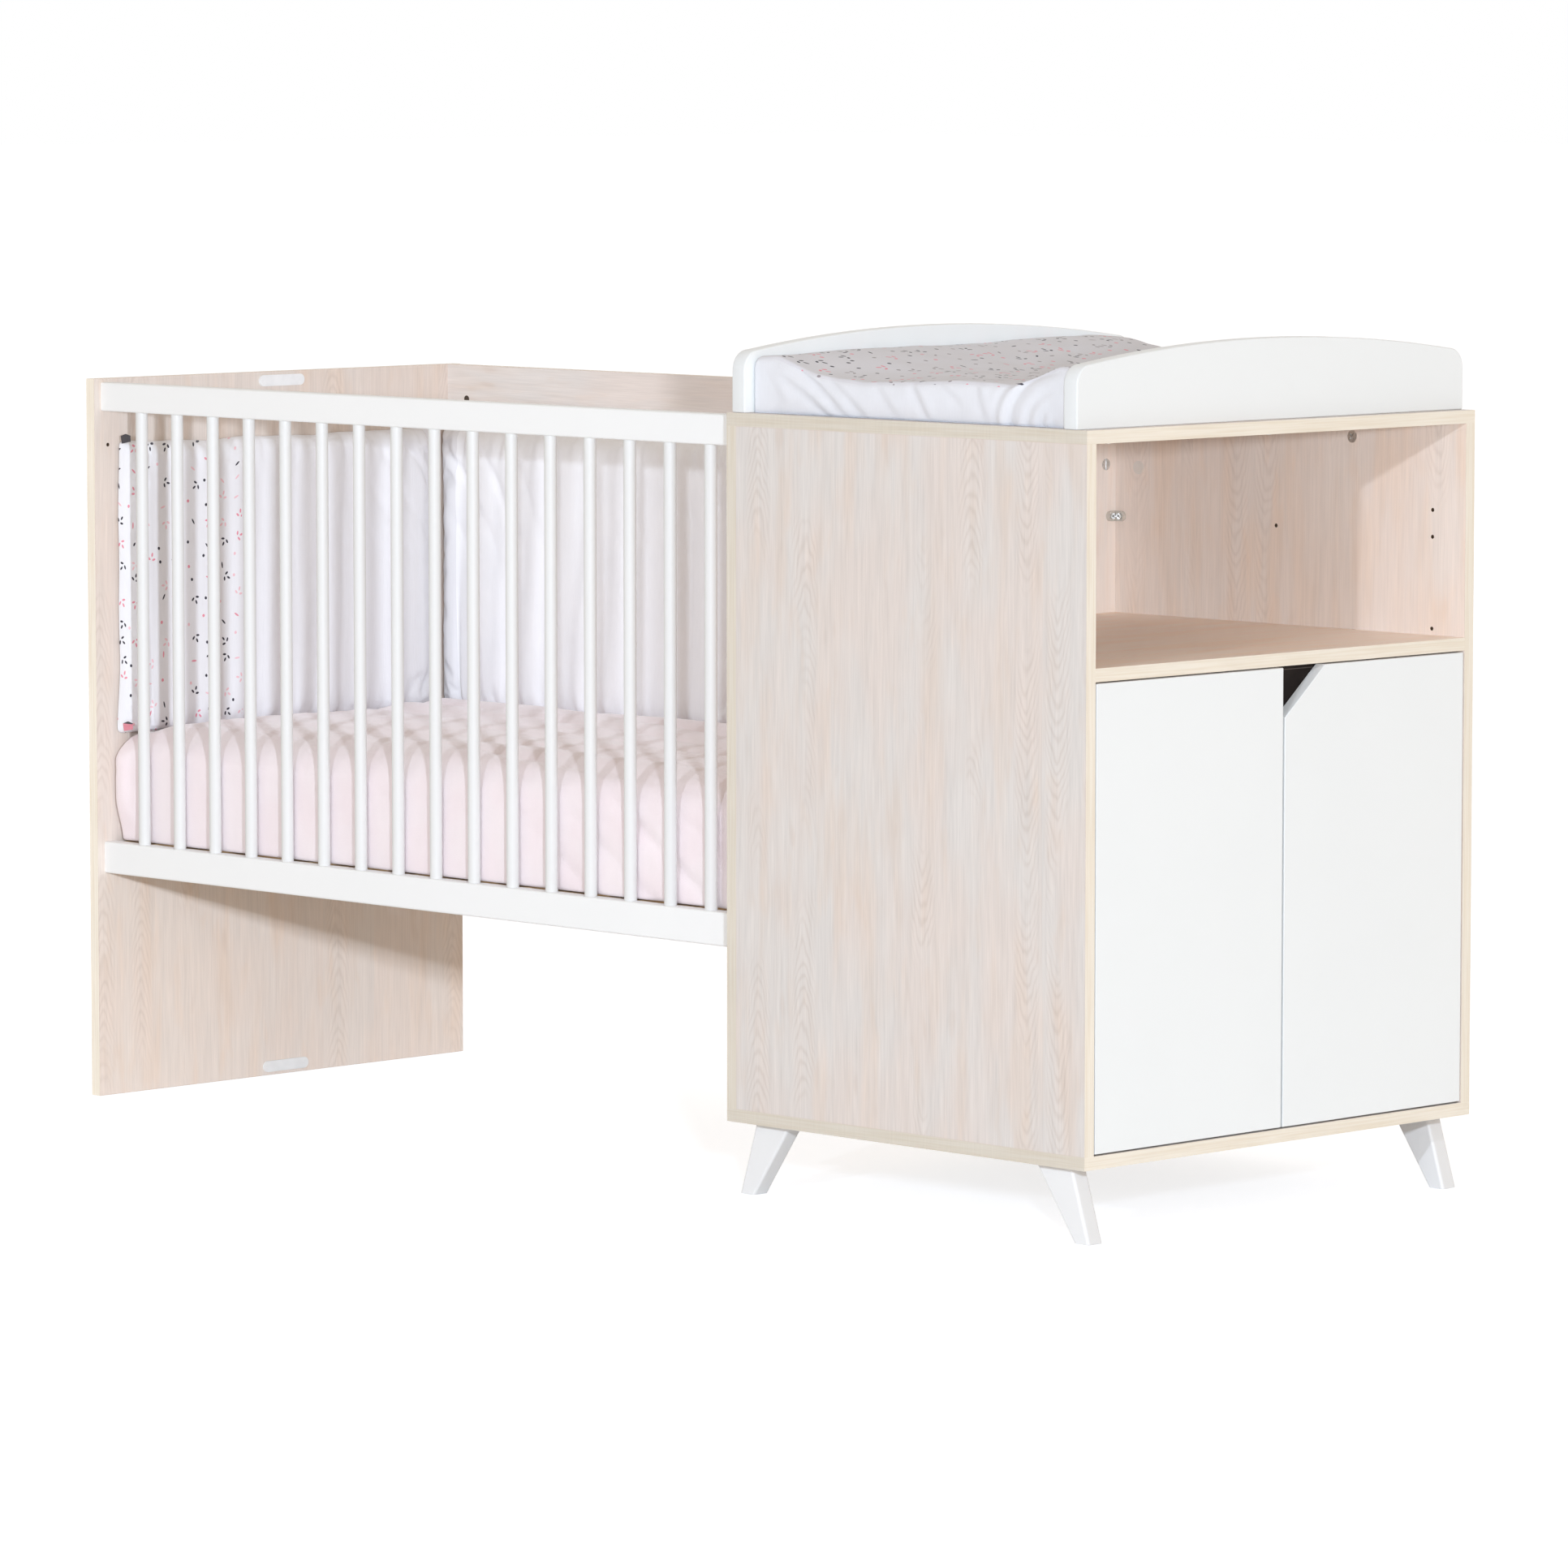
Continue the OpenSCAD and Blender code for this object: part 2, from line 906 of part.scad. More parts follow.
// Cup holes and screw holes, for the door on the +Y side
module cup_pockets() {
    for (z = hinge_z)
        translate([door_in_x - fine, cup_y, z]) {
            rotate([0, 90, 0])
                cylinder(d = cup_d + 0.2, h = cup_depth + 0.2);
            for (dz = [-1, 1])
                translate([0, 0, dz * cup_screw_pitch / 2])
                    rotate([0, 90, 0])
                        cylinder(d = screw_d, h = cup_screw_l);
        }
}

module door_board() {
    difference() {
        translate([door_in_x, door_free_y, door_z0])
            cube([board_t, door_hinge_y - door_free_y, door_z1 - door_z0]);
        cup_pockets();
    }
}

module near_door() {
    color(white)
        mirror([0, 1, 0])
            door_board();
}

module far_door() {
    color(white)
        difference() {
            door_board();
            translate([door_in_x - 1, 0, 0])
                rotate([90, 0, 90])
                    linear_extrude(board_t + 2)
                        polygon([
                            [door_free_y - 1, door_z1 - cut_h - cut_h / cut_w],
                            [door_free_y + cut_w + 1, door_z1 + cut_h / cut_w],
                            [door_free_y - 1, door_z1 + cut_h / cut_w]
                        ]);
        }
}

// Dark plate behind the finger cut, glued to the back of the far door
module pull_plate() {
    plate_t = 3;
    border = 12;
    color("#1d1816")
        translate([door_in_x - plate_t, 0, 0])
            rotate([90, 0, 90])
                linear_extrude(plate_t)
                    polygon([
                        [door_free_y, door_z1 - cut_h - border],
                        [door_free_y + border, door_z1 - cut_h - border],
                        [door_free_y + cut_w + border, door_z1 - border],
                        [door_free_y + cut_w + border, door_z1],
                        [door_free_y, door_z1]
                    ]);
}

// Cups with a screwed flange, for the door on the +Y side
module hinge_cups() {
    wall = 1.5;
    rim_w = 2.5;
    wing_w = 14;
    color(steel)
        difference() {
            for (z = hinge_z)
                translate([door_in_x - cup_flange_t, cup_y, z]) {
                    rotate([0, 90, 0])
                        cylinder(d = cup_d, h = cup_depth + cup_flange_t);
                    rotate([0, 90, 0])
                        cylinder(d = cup_d + 2 * rim_w, h = cup_flange_t);
                    translate([0, -wing_w / 2, -(cup_screw_pitch + wing_w) / 2])
                        cube([cup_flange_t, wing_w, cup_screw_pitch + wing_w]);
                }
            for (z = hinge_z)
                translate([door_in_x - cup_flange_t - fine, cup_y, z]) {
                    rotate([0, 90, 0])
                        cylinder(d = cup_d - 2 * wall, h = cup_depth + cup_flange_t - wall);
                    for (dz = [-1, 1])
                        translate([0, 0, dz * cup_screw_pitch / 2])
                            rotate([0, 90, 0])
                                cylinder(d = screw_d + 2 * fine, h = cup_flange_t + 1);
                }
        }
}

module cup_screws() {
    head_h = 1.4;
    color(steel)
        for (z = hinge_z, dz = [-1, 1])
            translate([door_in_x - cup_flange_t, cup_y, z + dz * cup_screw_pitch / 2])
                rotate([0, 90, 0]) {
                    translate([0, 0, -head_h])
                        cylinder(d = screw_head_d - 1, h = head_h);
                    cylinder(d = screw_d - 2 * fine, h = cup_screw_l);
                }
}

module far_hinge_cups() {
    hinge_cups();
}

module near_hinge_cups() {
    mirror([0, 1, 0])
        hinge_cups();
}

module far_cup_screws() {
    cup_screws();
}

module near_cup_screws() {
    mirror([0, 1, 0])
        cup_screws();
}

// Mounting plates and arms on the dresser's sides. Each arm stops just short of its cup
module hinge_arms() {
    arm_w = 16;
    arm_t = 15;
    arm_x = arm_plate_x + 2 * arm_screw_inset + 2;
    arm_clear = 2;
    color(steel)
        difference() {
            for (side = [0, 1], z = hinge_z)
                mirror([0, side, 0]) {
                    translate([arm_plate_x, side_in - arm_plate_t, z - arm_plate_h / 2])
                        cube([arm_plate_l, arm_plate_t, arm_plate_h]);
                    translate([arm_x, side_in - arm_plate_t - arm_t, z - arm_w / 2])
                        cube([door_in_x - cup_flange_t - arm_clear - arm_x, arm_t + 1, arm_w]);
                }
            arm_screws(fine);
        }
}

// ---------- Changer top ----------

// A flat-bottomed board whose top is an arch between two rounded ends
module rim_profile() {
    r = 24;
    half = rim_l / 2 - r;
    arch_r = (half * half + rim_rise * rim_rise) / (2 * rim_rise);
    translate([-rim_l / 2, 0])
        square([rim_l, rim_end_h - r]);
    translate([-half, 0])
        square([2 * half, rim_end_h]);
    for (s = [-1, 1])
        translate([s * half, rim_end_h - r])
            circle(r = r);
    intersection() {
        translate([0, rim_end_h + rim_rise - arch_r])
            circle(r = arch_r, $fn = 360);
        translate([-half, 1])
            square([2 * half, rim_end_h + rim_rise]);
    }
}

module rim_board(x) {
    color(white)
        difference() {
            translate([x, 0, cot_h])
                rotate([90, 0, 90])
                    linear_extrude(rim_t)
                        rim_profile();
            rim_screws(fine);
        }
}

module changer_board_back() {
    rim_board(rim_back_x);
}

module changer_board_front() {
    rim_board(rim_front_x);
}

// The pad has a raised bolster along each board and a shallow channel between them
pad_x0 = rim_back_x + rim_t + 1.5;
pad_x1 = rim_front_x - 1.5;
pad_y0 = -330;
pad_z = cot_h + 0.3;
pad_mid_h = 47;
bolster_h = 24;
bolster_far_rise = 7;
bolster_flat = 22;
bolster_fall_back = 120;
bolster_fall_front = 80;

function pad_top(x, y) =
    let (
        back = 1 - ease((x - pad_x0 - bolster_flat) / bolster_fall_back),
        front = 1 - ease((pad_x1 - bolster_flat - x) / bolster_fall_front),
        far_rise = bolster_far_rise * ease((y - pad_y0) / pad_l),
        crease = 0.7 * sin(x * 4.1 + y * 1.7)
    )
        pad_mid_h + max((bolster_h + far_rise) * back, bolster_h * front) + crease;

// The foot of a long side as [distance in from that side, height], and its shoulder as [distance in, drop]
pad_foot = [[9, 0], [1.5, 10], [0, 26]];
pad_shoulder = [[1, 20], [5, 8]];
pad_shoulder_w = 16;

// The pad's ends are drawn in and lower, as a stuffed cover is
function pad_ring(y, full) =
    let (
        draw = 7 * (1 - full),
        x0 = pad_x0 + draw,
        x1 = pad_x1 - draw,
        sag = 9 * (1 - full),
        n = 18,
        step = (x1 - x0 - 2 * pad_shoulder_w) / n
    )
        concat(
            [for (p = pad_foot) [x1 - p[0], y, pad_z + p[1]]],
            [for (p = pad_shoulder) [x1 - p[0], y, pad_z + pad_top(x1, y) - sag - p[1]]],
            [for (i = [0:n]) let (x = x1 - pad_shoulder_w - i * step) [x, y, pad_z + pad_top(x, y) - sag]],
            [for (k = [1, 0]) let (p = pad_shoulder[k]) [x0 + p[0], y, pad_z + pad_top(x0, y) - sag - p[1]]],
            [for (k = [2, 1, 0]) [x0 + pad_foot[k][0], y, pad_z + pad_foot[k][1]]]
        );

module changing_pad() {
    rings = 22;
    end_steps = [[0, 0], [3, 0.45], [9, 0.8], [20, 1]];
    inner = pad_l - 40;
    color("#dedbe0")
        skin(concat(
            [for (e = end_steps) pad_ring(pad_y0 + e[0], e[1])],
            [for (i = [1:rings - 1]) pad_ring(pad_y0 + 20 + inner * i / rings, 1)],
            [for (k = [3:-1:0]) pad_ring(pad_y0 + pad_l - end_steps[k][0], end_steps[k][1])]
        ));
}

// ---------- Assembly ----------

end_panel();
slot_covers();
front_upper_rail();
front_lower_rail();
for (i = [1:bar_count]) bar(i);
back_panel();
front_cleat();
back_cleat();
base_slats();
mattress();
quilt();
bumper_end();
bumper_back_left();
bumper_back_right();
tie_tabs();
bed_bolts();
barrel_nuts();
dresser_top();
dresser_bottom();
near_side();
far_side();
dresser_back();
middle_shelf();
inner_shelf();
shelf_pins();
near_door();
far_door();
pull_plate();
near_hinge_cups();
far_hinge_cups();
near_cup_screws();
far_cup_screws();
hinge_arms();
foot_back_near();
foot_back_far();
foot_front_near();
foot_front_far();
cam_locks();
cam_pins();
cover_caps();
corner_brackets();
wood_screws();
changer_board_back();
changer_board_front();
changing_pad();
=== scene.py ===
import math

import bmesh
import bpy
import numpy as np
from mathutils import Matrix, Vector, noise


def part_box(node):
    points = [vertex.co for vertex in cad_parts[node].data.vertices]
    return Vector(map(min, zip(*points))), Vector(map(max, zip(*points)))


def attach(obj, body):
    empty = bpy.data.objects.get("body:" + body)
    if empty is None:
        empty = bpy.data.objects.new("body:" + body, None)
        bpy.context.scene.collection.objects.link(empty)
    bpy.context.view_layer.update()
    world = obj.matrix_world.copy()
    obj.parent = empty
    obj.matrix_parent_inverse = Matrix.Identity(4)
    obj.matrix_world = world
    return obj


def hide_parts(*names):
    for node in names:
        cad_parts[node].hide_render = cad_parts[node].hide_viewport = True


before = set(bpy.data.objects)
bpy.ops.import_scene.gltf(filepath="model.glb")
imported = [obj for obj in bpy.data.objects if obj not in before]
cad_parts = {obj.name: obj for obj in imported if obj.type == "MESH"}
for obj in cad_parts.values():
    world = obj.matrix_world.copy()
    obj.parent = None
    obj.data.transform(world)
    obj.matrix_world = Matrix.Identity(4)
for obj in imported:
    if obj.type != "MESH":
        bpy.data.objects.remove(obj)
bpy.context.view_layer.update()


# ---- Laminated boards ----
# The end panel, the back panel and the dresser's carcass are 16 mm particle board. Their faces carry
# a printed bleached-wood laminate and their edges a cream band. Bolts, cams and screws join them.

class Shade:
    """One output of a shader node. Sums, products and comparisons with it add Math nodes."""

    tree = None

    def __init__(self, socket):
        self.socket = socket

    @classmethod
    def node(cls, kind, settings=None, inputs=None):
        """Adds a node, with its settings first and then each socket's number, colour or link."""
        made = cls.tree.nodes.new("ShaderNode" + kind)
        for name, value in (settings or {}).items():
            setattr(made, name, value)
        for name, value in (inputs or {}).items():
            if isinstance(value, Shade):
                cls.tree.links.new(value.socket, made.inputs[name])
            else:
                made.inputs[name].default_value = value
        return cls(made.outputs[0])

    def out(self, name):
        return Shade(self.socket.node.outputs[name])

    def math(self, operation, *others):
        inputs = dict(enumerate((self, *others)))
        return Shade.node("Math", {"operation": operation}, inputs)

    def __add__(self, other):
        return self.math("ADD", other)

    def __sub__(self, other):
        return self.math("SUBTRACT", other)

    def __mul__(self, other):
        return self.math("MULTIPLY", other)

    def __truediv__(self, other):
        return self.math("DIVIDE", other)

    def __pow__(self, other):
        return self.math("POWER", other)

    def __gt__(self, other):
        return self.math("GREATER_THAN", other)

    def __lt__(self, other):
        return self.math("LESS_THAN", other)

    def __rsub__(self, other):
        return Shade.node("Math", {"operation": "SUBTRACT"}, {0: other, 1: self})

    def __abs__(self):
        return self.math("ABSOLUTE")

    __radd__ = __add__
    __rmul__ = __mul__

    def ease(self, low, high, to_low=0.0, to_high=1.0):
        """Goes smoothly from to_low, at low, to to_high, at high."""
        inputs = {"Value": self, "From Min": low, "From Max": high, "To Min": to_low, "To Max": to_high}
        return Shade.node("MapRange", {"interpolation_type": "SMOOTHSTEP"}, inputs)


def mix(share, a, b):
    """Colour a where share is 0, and colour b where it is 1."""
    made = Shade.node("Mix", {"data_type": "RGBA"}, {0: share, 6: rgba(a), 7: rgba(b)})
    return Shade(made.socket.node.outputs[2])


def rgba(colour):
    return colour if isinstance(colour, Shade) else (*colour, 1)


def brighten(colour, factor):
    """The colour times a number that changes over the surface."""
    grey = Shade.node("CombineXYZ", inputs={0: factor, 1: factor, 2: factor})
    return Shade.node("VectorMath", {"operation": "MULTIPLY"}, {0: colour, 1: grey})


def split(vector):
    """The three parts of a vector or colour."""
    xyz = Shade.node("SeparateXYZ", inputs={0: vector})
    return [xyz.out(axis) for axis in "XYZ"]


def place():
    """The point on the surface, in metres in the part's own frame, as x, y and z."""
    return split(Shade.node("TexCoord").out("Object"))


def facing():
    """The surface's own direction as x, y and z."""
    return split(Shade.node("TexCoord").out("Normal"))


def speckle(x, y, z, detail=2.0):
    """Smooth noise from 0 to 1 over three numbers, with one feature to each whole step of them."""
    point = Shade.node("CombineXYZ", inputs={0: x, 1: y, 2: z})
    return Shade.node("TexNoise", inputs={"Vector": point, "Scale": 1.0, "Detail": detail})


def mottle(spot, steps, detail=2.0):
    """Noise over the place itself. steps, to the metre, is one number or one for each axis."""
    if isinstance(steps, float):
        steps = [steps] * 3
    return speckle(*(p * step for p, step in zip(spot, steps)), detail)


def streaks(others, axis, own):
    """Steps for mottle with their own number on one axis, so that the noise runs in streaks."""
    steps = [others] * 3
    steps[axis] = own
    return steps


def bump(height, distance, strength=1.0):
    return Shade.node("Bump", inputs={"Height": height, "Distance": distance, "Strength": strength})


def material(name, paint, *values):
    """A material whose main shader takes what paint gives: {socket: number, colour or link}."""
    made = bpy.data.materials.new(name)
    made.use_nodes = True
    Shade.tree = made.node_tree
    shader = made.node_tree.nodes["Principled BSDF"]
    for socket, value in paint(*values).items():
        if isinstance(value, Shade):
            made.node_tree.links.new(value.socket, shader.inputs[socket])
        else:
            shader.inputs[socket].default_value = value
    return made


def dress(names, finish):
    """Gives CAD nodes a finish."""
    for name in names:
        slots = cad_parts[name].data.materials
        slots.clear()
        slots.append(finish)


ASH_COOL = (0.748, 0.722, 0.695)
ASH_PINK = (0.765, 0.698, 0.652)
ASH_WARM = (0.755, 0.610, 0.500)
ASH_DARK = (0.600, 0.470, 0.385)
BAND_PALE = (0.900, 0.845, 0.735)
BAND_WARM = (0.830, 0.750, 0.615)
CHIPBOARD = (0.11, 0.07, 0.04)
STAVE = 0.085
RING_STEP = 0.0210
RING_POINT = 0.0095
FLANK_RINGS = 1.8


def laminate(board, along_axis, number, warmth_and_painted_warm_shade, painted_light_share, painted_shade_fade, plain_share, painted_side_band_shade):
    """Staves of bleached wood, some with arched ring figures, and a cream band on the board's edges."""
    low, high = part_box(board)
    size = high - low
    thick_axis = min(range(3), key=lambda axis: size[axis])
    across_axis = 3 - along_axis - thick_axis
    spot = place()
    normal = facing()
    along, across = spot[along_axis], spot[across_axis]
    back = normal[thick_axis] < 0
    seed = back * 3.7 + number * 1.31
    sway = speckle(across * 5, along * 1.1, seed, 1.0) - 0.5
    u = across + sway * 0.014 + seed * 0.217
    v = along + seed * 0.83

    def vein(steps_across, steps_along, shift, detail=2.0):
        return speckle(u * steps_across, v * steps_along, seed + shift, detail)

    row, cell = {"voronoi_dimensions": "1D"}, {"W": u / STAVE, "Scale": 1.0, "Randomness": 0.8}
    stave = Shade.node("TexVoronoi", row, cell)
    joint = Shade.node("TexVoronoi", {**row, "feature": "DISTANCE_TO_EDGE"}, cell)
    tint, figure_luck, way_luck = split(stave.out("Color"))

    # Rings cut at a slant: rounded arches one after another, steep at their flanks
    lean = speckle(v * 6.0, tint * 9, seed + 21) - 0.5
    side = abs(stave * STAVE + lean * 0.016)
    arch = (1 + (side / RING_POINT) ** 2) ** 0.5 * FLANK_RINGS
    way = (way_luck > 0.5) * 2 - 1
    drift = speckle(across * 24, along * 9, seed + 5) * 3.2 + vein(95, 30, 0, 1.0) * 0.9
    phase = (v * way / RING_STEP + arch + drift + tint * 9) * math.tau
    ring = (phase.math("SINE") * 0.5 + 0.5) ** 2.4
    shown_here = vein(7, 3.4, 9, 1.0).ease(0.46, 0.56)
    figure = shown_here * side.ease(0.010, 0.026, 1.0, 0.0) * (figure_luck > plain_share)

    hair = vein(720, 22, 1, 1.0) - 0.5
    fine = vein(330, 11, 0) - 0.5
    thread = vein(100, 6, 2) - 0.5
    streak = vein(27, 4, 4)
    cloud = vein(15, 4.6, 7)
    blush = vein(40, 12, 13).ease(0.55, 0.72)
    smudge = vein(44, 13, 11, 1.0).ease(0.66, 0.80)

    colour = mix((tint * 0.20 + cloud * 0.92).ease(0.40, 0.70), ASH_COOL, ASH_PINK)
    # Each board's warmth share is partly painted warm shade
    colour = mix(streak.ease(0.48, 0.72) * 0.34 + blush * 0.18 + warmth_and_painted_warm_shade, colour, ASH_WARM)
    colour = mix((smudge + figure * 0.30) * 0.22, colour, ASH_DARK)
    colour = mix(figure * ring * 0.15, colour, ASH_DARK)
    colour = mix((joint * STAVE).ease(0.0, 0.0012, 0.08, 0.0), colour, ASH_DARK)
    # Each board's brightness, and its fall along the grain, are painted light and shade
    tone = painted_light_share - (along - (low + high)[along_axis] / 2) * painted_shade_fade
    tone = tone + fine * 0.17 + thread * 0.16 + hair * 0.15 + figure * (0.026 - ring * 0.050)
    face = brighten(colour, tone)

    # The band's own grain runs along the edge, so only the thickness axis is fine
    band_grain = mottle(spot, streaks(9.0, thick_axis, 420.0))
    # Bands that face -Y or +Y get their own brightness per board: painted shade
    band_tone = 1.0 + fine * 0.08 + (abs(normal[1]) > 0.5) * (painted_side_band_shade - 1.0)
    band = brighten(mix(band_grain.ease(0.3, 0.75), BAND_PALE, BAND_WARM), band_tone)
    on_edge = abs(normal[thick_axis]) < 0.5

    # Where a band meets the face, the face darkens to a hairline. Drilled holes show dark raw chipboard
    rim = 1.0
    inside = on_edge
    for axis in (along_axis, across_axis):
        to_edge = (spot[axis] - low[axis]).math("MINIMUM", high[axis] - spot[axis])
        rim = to_edge.ease(0.0002, 0.0011) * rim
        inside = (to_edge > 0.0012) * inside
    face = mix(rim.ease(0.0, 1.0, 0.34, 0.0), face, ASH_DARK)
    band = mix(inside, band, CHIPBOARD)
    pores = fine + hair * 0.6 - ring * figure * 0.4
    return {
        "Base Color": mix(on_edge, face, band),
        "Roughness": 0.46 + thread * 0.12,
        "Normal": bump(pores, 0.00012, 0.35),
    }


# Grain axis, warmth, brightness and its fall over a metre of grain, share of plain staves, and
# brightness of the bands that face sideways. Warmth, brightness, fall and band brightness differ
# from board to board as painted light and shade: the niche's boards are drawn brighter and warmer,
# the end panel warmer and darker towards its top, the back panel brighter towards +X, the near side
# darker, and most boards' sideways bands darker.
BOARDS = {
    "end_panel": (2, 0.42, 1.00, 0.12, 0.30, 1.04),
    "back_panel": (0, 0.16, 1.00, -0.04, 0.10, 0.90),
    "dresser_top": (1, 0.10, 0.98, 0.0, 0.40, 0.74),
    "dresser_bottom": (1, 0.10, 0.98, 0.0, 0.40, 0.74),
    "near_side": (2, 0.08, 0.90, 0.0, 0.42, 0.82),
    "far_side": (2, 0.48, 1.15, 0.0, 0.30, 0.88),
    "dresser_back": (2, 0.34, 1.28, 0.0, 0.40, 0.78),
    "middle_shelf": (1, 0.74, 1.38, 0.0, 0.40, 0.88),
    "inner_shelf": (1, 0.10, 1.00, 0.0, 0.40, 0.90),
}
for number, (board, (along_axis, *finish)) in enumerate(BOARDS.items()):
    dress([board], material("laminate_" + board, laminate, board, along_axis, number, *finish))


# ---- White lacquered wood ----
# The rails, the bars and the feet are beech under white satin lacquer. The bars are glued into both
# rails, the rails are bolted to the boards at their ends, and the feet are screwed under the dresser.

LACQUER = (0.880, 0.895, 0.890)
LACQUER_GREY = (0.850, 0.868, 0.865)
# The bars and the feet are the rails' white lacquer drawn darker: painted shade
SHADED_BAR_LACQUER = (0.740, 0.750, 0.742)
SHADED_BAR_LACQUER_GREY = (0.722, 0.732, 0.724)
SHADED_FOOT_LACQUER = (0.815, 0.825, 0.825)


def lacquer(grain, pale, grey, roughness=0.34, end_shade=0.0):
    """Sprayed lacquer, with faint long grain under it along one axis (0, 1 or 2) or none.

    end_shade is painted shade: how much darker the faces towards -Y and +Y are drawn."""
    spot = place()
    fibre = mottle(spot, 130.0 if grain is None else streaks(240.0, grain, 5.0))
    film = mottle(spot, 900.0, 1.0)
    cloud = mottle(spot, 5.0)
    colour = mix(cloud.ease(0.35, 0.75) * 0.35, pale, grey)
    return {
        "Base Color": brighten(colour, 1 - abs(facing()[1]) * end_shade),
        "Roughness": roughness + cloud * 0.08 + fibre * 0.04,
        "Specular IOR Level": 0.32,
        "Normal": bump(fibre * 0.5 + film * 0.5, 0.00006, 0.30),
    }


lacquer_rail = material("white_lacquer_rail", lacquer, 0, LACQUER, LACQUER_GREY)
lacquer_bar = material("white_lacquer_bar", lacquer, 2, SHADED_BAR_LACQUER, SHADED_BAR_LACQUER_GREY)
lacquer_foot = material("white_lacquer_foot", lacquer, 2, SHADED_FOOT_LACQUER, SHADED_BAR_LACQUER)
BARS = ["bar_%d" % (number + 1) for number in range(16)]
FEET = ["foot_%s_%s" % (end, side) for end in ("back", "front") for side in ("near", "far")]
dress(["front_upper_rail", "front_lower_rail"], lacquer_rail)
dress(BARS, lacquer_bar)
dress(FEET, lacquer_foot)


# ---- Mattress base ----
# Twelve planed pine slats lie across the cot on two pine cleats. The cleats are screwed to the lower
# rail and to the back panel.

PINE = (0.74, 0.56, 0.36)
PINE_LATE = (0.60, 0.39, 0.20)
PINE_KNOT = (0.30, 0.15, 0.07)


def pine(grain):
    """Planed pine: late-wood lines along the grain, and a knot here and there."""
    spot = place()
    rings = mottle(spot, streaks(46.0, grain, 1.4), 3.0)
    line = (rings * 60.0).math("SINE") * 0.5 + 0.5
    fibre = mottle(spot, streaks(520.0, grain, 9.0))
    knot = mottle(spot, streaks(16.0, grain, 6.0), 0.0).ease(0.80, 0.86)
    wood = mix(line ** 3.0 * 0.7, PINE, PINE_LATE)
    wood = mix(knot * 0.8, wood, PINE_KNOT)
    return {
        "Base Color": brighten(wood, 0.93 + fibre * 0.14),
        "Roughness": 0.58 + fibre * 0.16,
        "Normal": bump(fibre + line * 0.4, 0.0002, 0.4),
    }


dress(["base_slats"], material("pine_slat", pine, 1))
dress(["front_cleat", "back_cleat"], material("pine_cleat", pine, 0))


# ---- Steel fittings ----
# The bed bolts, cross nuts, cams, cam pins, shelf pins, wood screws and hinge parts are zinc-plated
# steel or cast zinc. They are bolted, turned or pressed into drilled holes.

ZINC = (0.78, 0.78, 0.77)
ZINC_DULL = (0.58, 0.58, 0.56)
# Near-black zinc for the barrel nuts: painted shade of their holes
ZINC_PAINTED_SHADE = (0.10, 0.085, 0.07)


def zinc(bright, dull, brushed):
    """Plated steel with a dull film, fine scratches and, where brushed, turning marks."""
    spot = place()
    film = mottle(spot, 260.0, 3.0)
    scratch = mottle(spot, streaks(2600.0, 1, 400.0), 1.0)
    return {
        "Base Color": mix(film.ease(0.35, 0.7), bright, dull),
        "Metallic": 0.96 - film * 0.1,
        "Roughness": 0.28 + film * 0.16 + scratch * 0.06 * brushed,
        "Normal": bump(scratch, 0.00004, 0.25 + 0.25 * brushed),
    }


zinc_plate = material("zinc_plate", zinc, ZINC, ZINC_DULL, 0.2)
zinc_cast = material("zinc_cast", zinc, ZINC, ZINC_DULL, 1.0)
nickel = material("nickel_hinge", zinc, ZINC, ZINC_DULL, 0.5)
dress(["bed_bolts", "cam_pins", "shelf_pins", "wood_screws"], zinc_plate)
# The barrel nuts are drawn near-black, as painted shade of the holes they sit in
dress(["barrel_nuts"], material("zinc_painted_shade", zinc, ZINC_PAINTED_SHADE, ZINC_PAINTED_SHADE, 0.2))
dress(["cam_locks", "near_cup_screws", "far_cup_screws"], zinc_cast)
dress(["hinge_arms", "near_hinge_cups", "far_hinge_cups"], nickel)


# ---- Plastic fittings ----
# The slot covers are white and the screw caps beige. The corner brackets are pale plastic, drawn a
# darker grey-beige all over as painted shade round their edges. All are moulded plastic, and they are
# pressed in or screwed on.

def moulded(colour, shade, roughness):
    """Moulded plastic with a fine spark-eroded texture."""
    spot = place()
    spark = mottle(spot, 1500.0, 1.0)
    flow = mottle(spot, 60.0)
    return {
        "Base Color": mix(flow.ease(0.3, 0.7), colour, shade),
        "Roughness": roughness + spark * 0.10,
        "Normal": bump(spark, 0.00005, 0.35),
    }


for node, name, *finish in (
    ("slot_covers", "white_plastic", (0.84, 0.85, 0.85), (0.79, 0.80, 0.80), 0.36),
    ("cover_caps", "beige_plastic", (0.80, 0.73, 0.66), (0.76, 0.69, 0.61), 0.42),
    # The brackets are drawn darker than their pale plastic: painted shade
    ("corner_brackets", "bracket_plastic", (0.66, 0.61, 0.54), (0.58, 0.53, 0.46), 0.30),
):
    dress([node], material(name, moulded, *finish))


# ---- Doors ----
# Two 16 mm boards foiled white on the front and over their edges hang inside the carcass on cup hinges.
# A near-black plate closes the triangular finger cut of the far door from behind.

DOOR_EASE = 0.0011
# A face of more square metres than this is one of the board's flat sides or edges
FLAT_FACE = 0.001


def cad_form(node):
    """A CAD node's mesh, ready to be worked on."""
    form = bmesh.new()
    form.from_mesh(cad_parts[node].data)
    bmesh.ops.remove_doubles(form, verts=form.verts, dist=1e-6)
    return form


def mesh_of(form, name):
    mesh = bpy.data.meshes.new(name)
    form.to_mesh(mesh)
    form.free()
    return mesh


def put(name, content):
    """A new object in the scene, for a mesh, a lamp or a camera."""
    made = bpy.data.objects.new(name, content)
    bpy.context.scene.collection.objects.link(made)
    return made


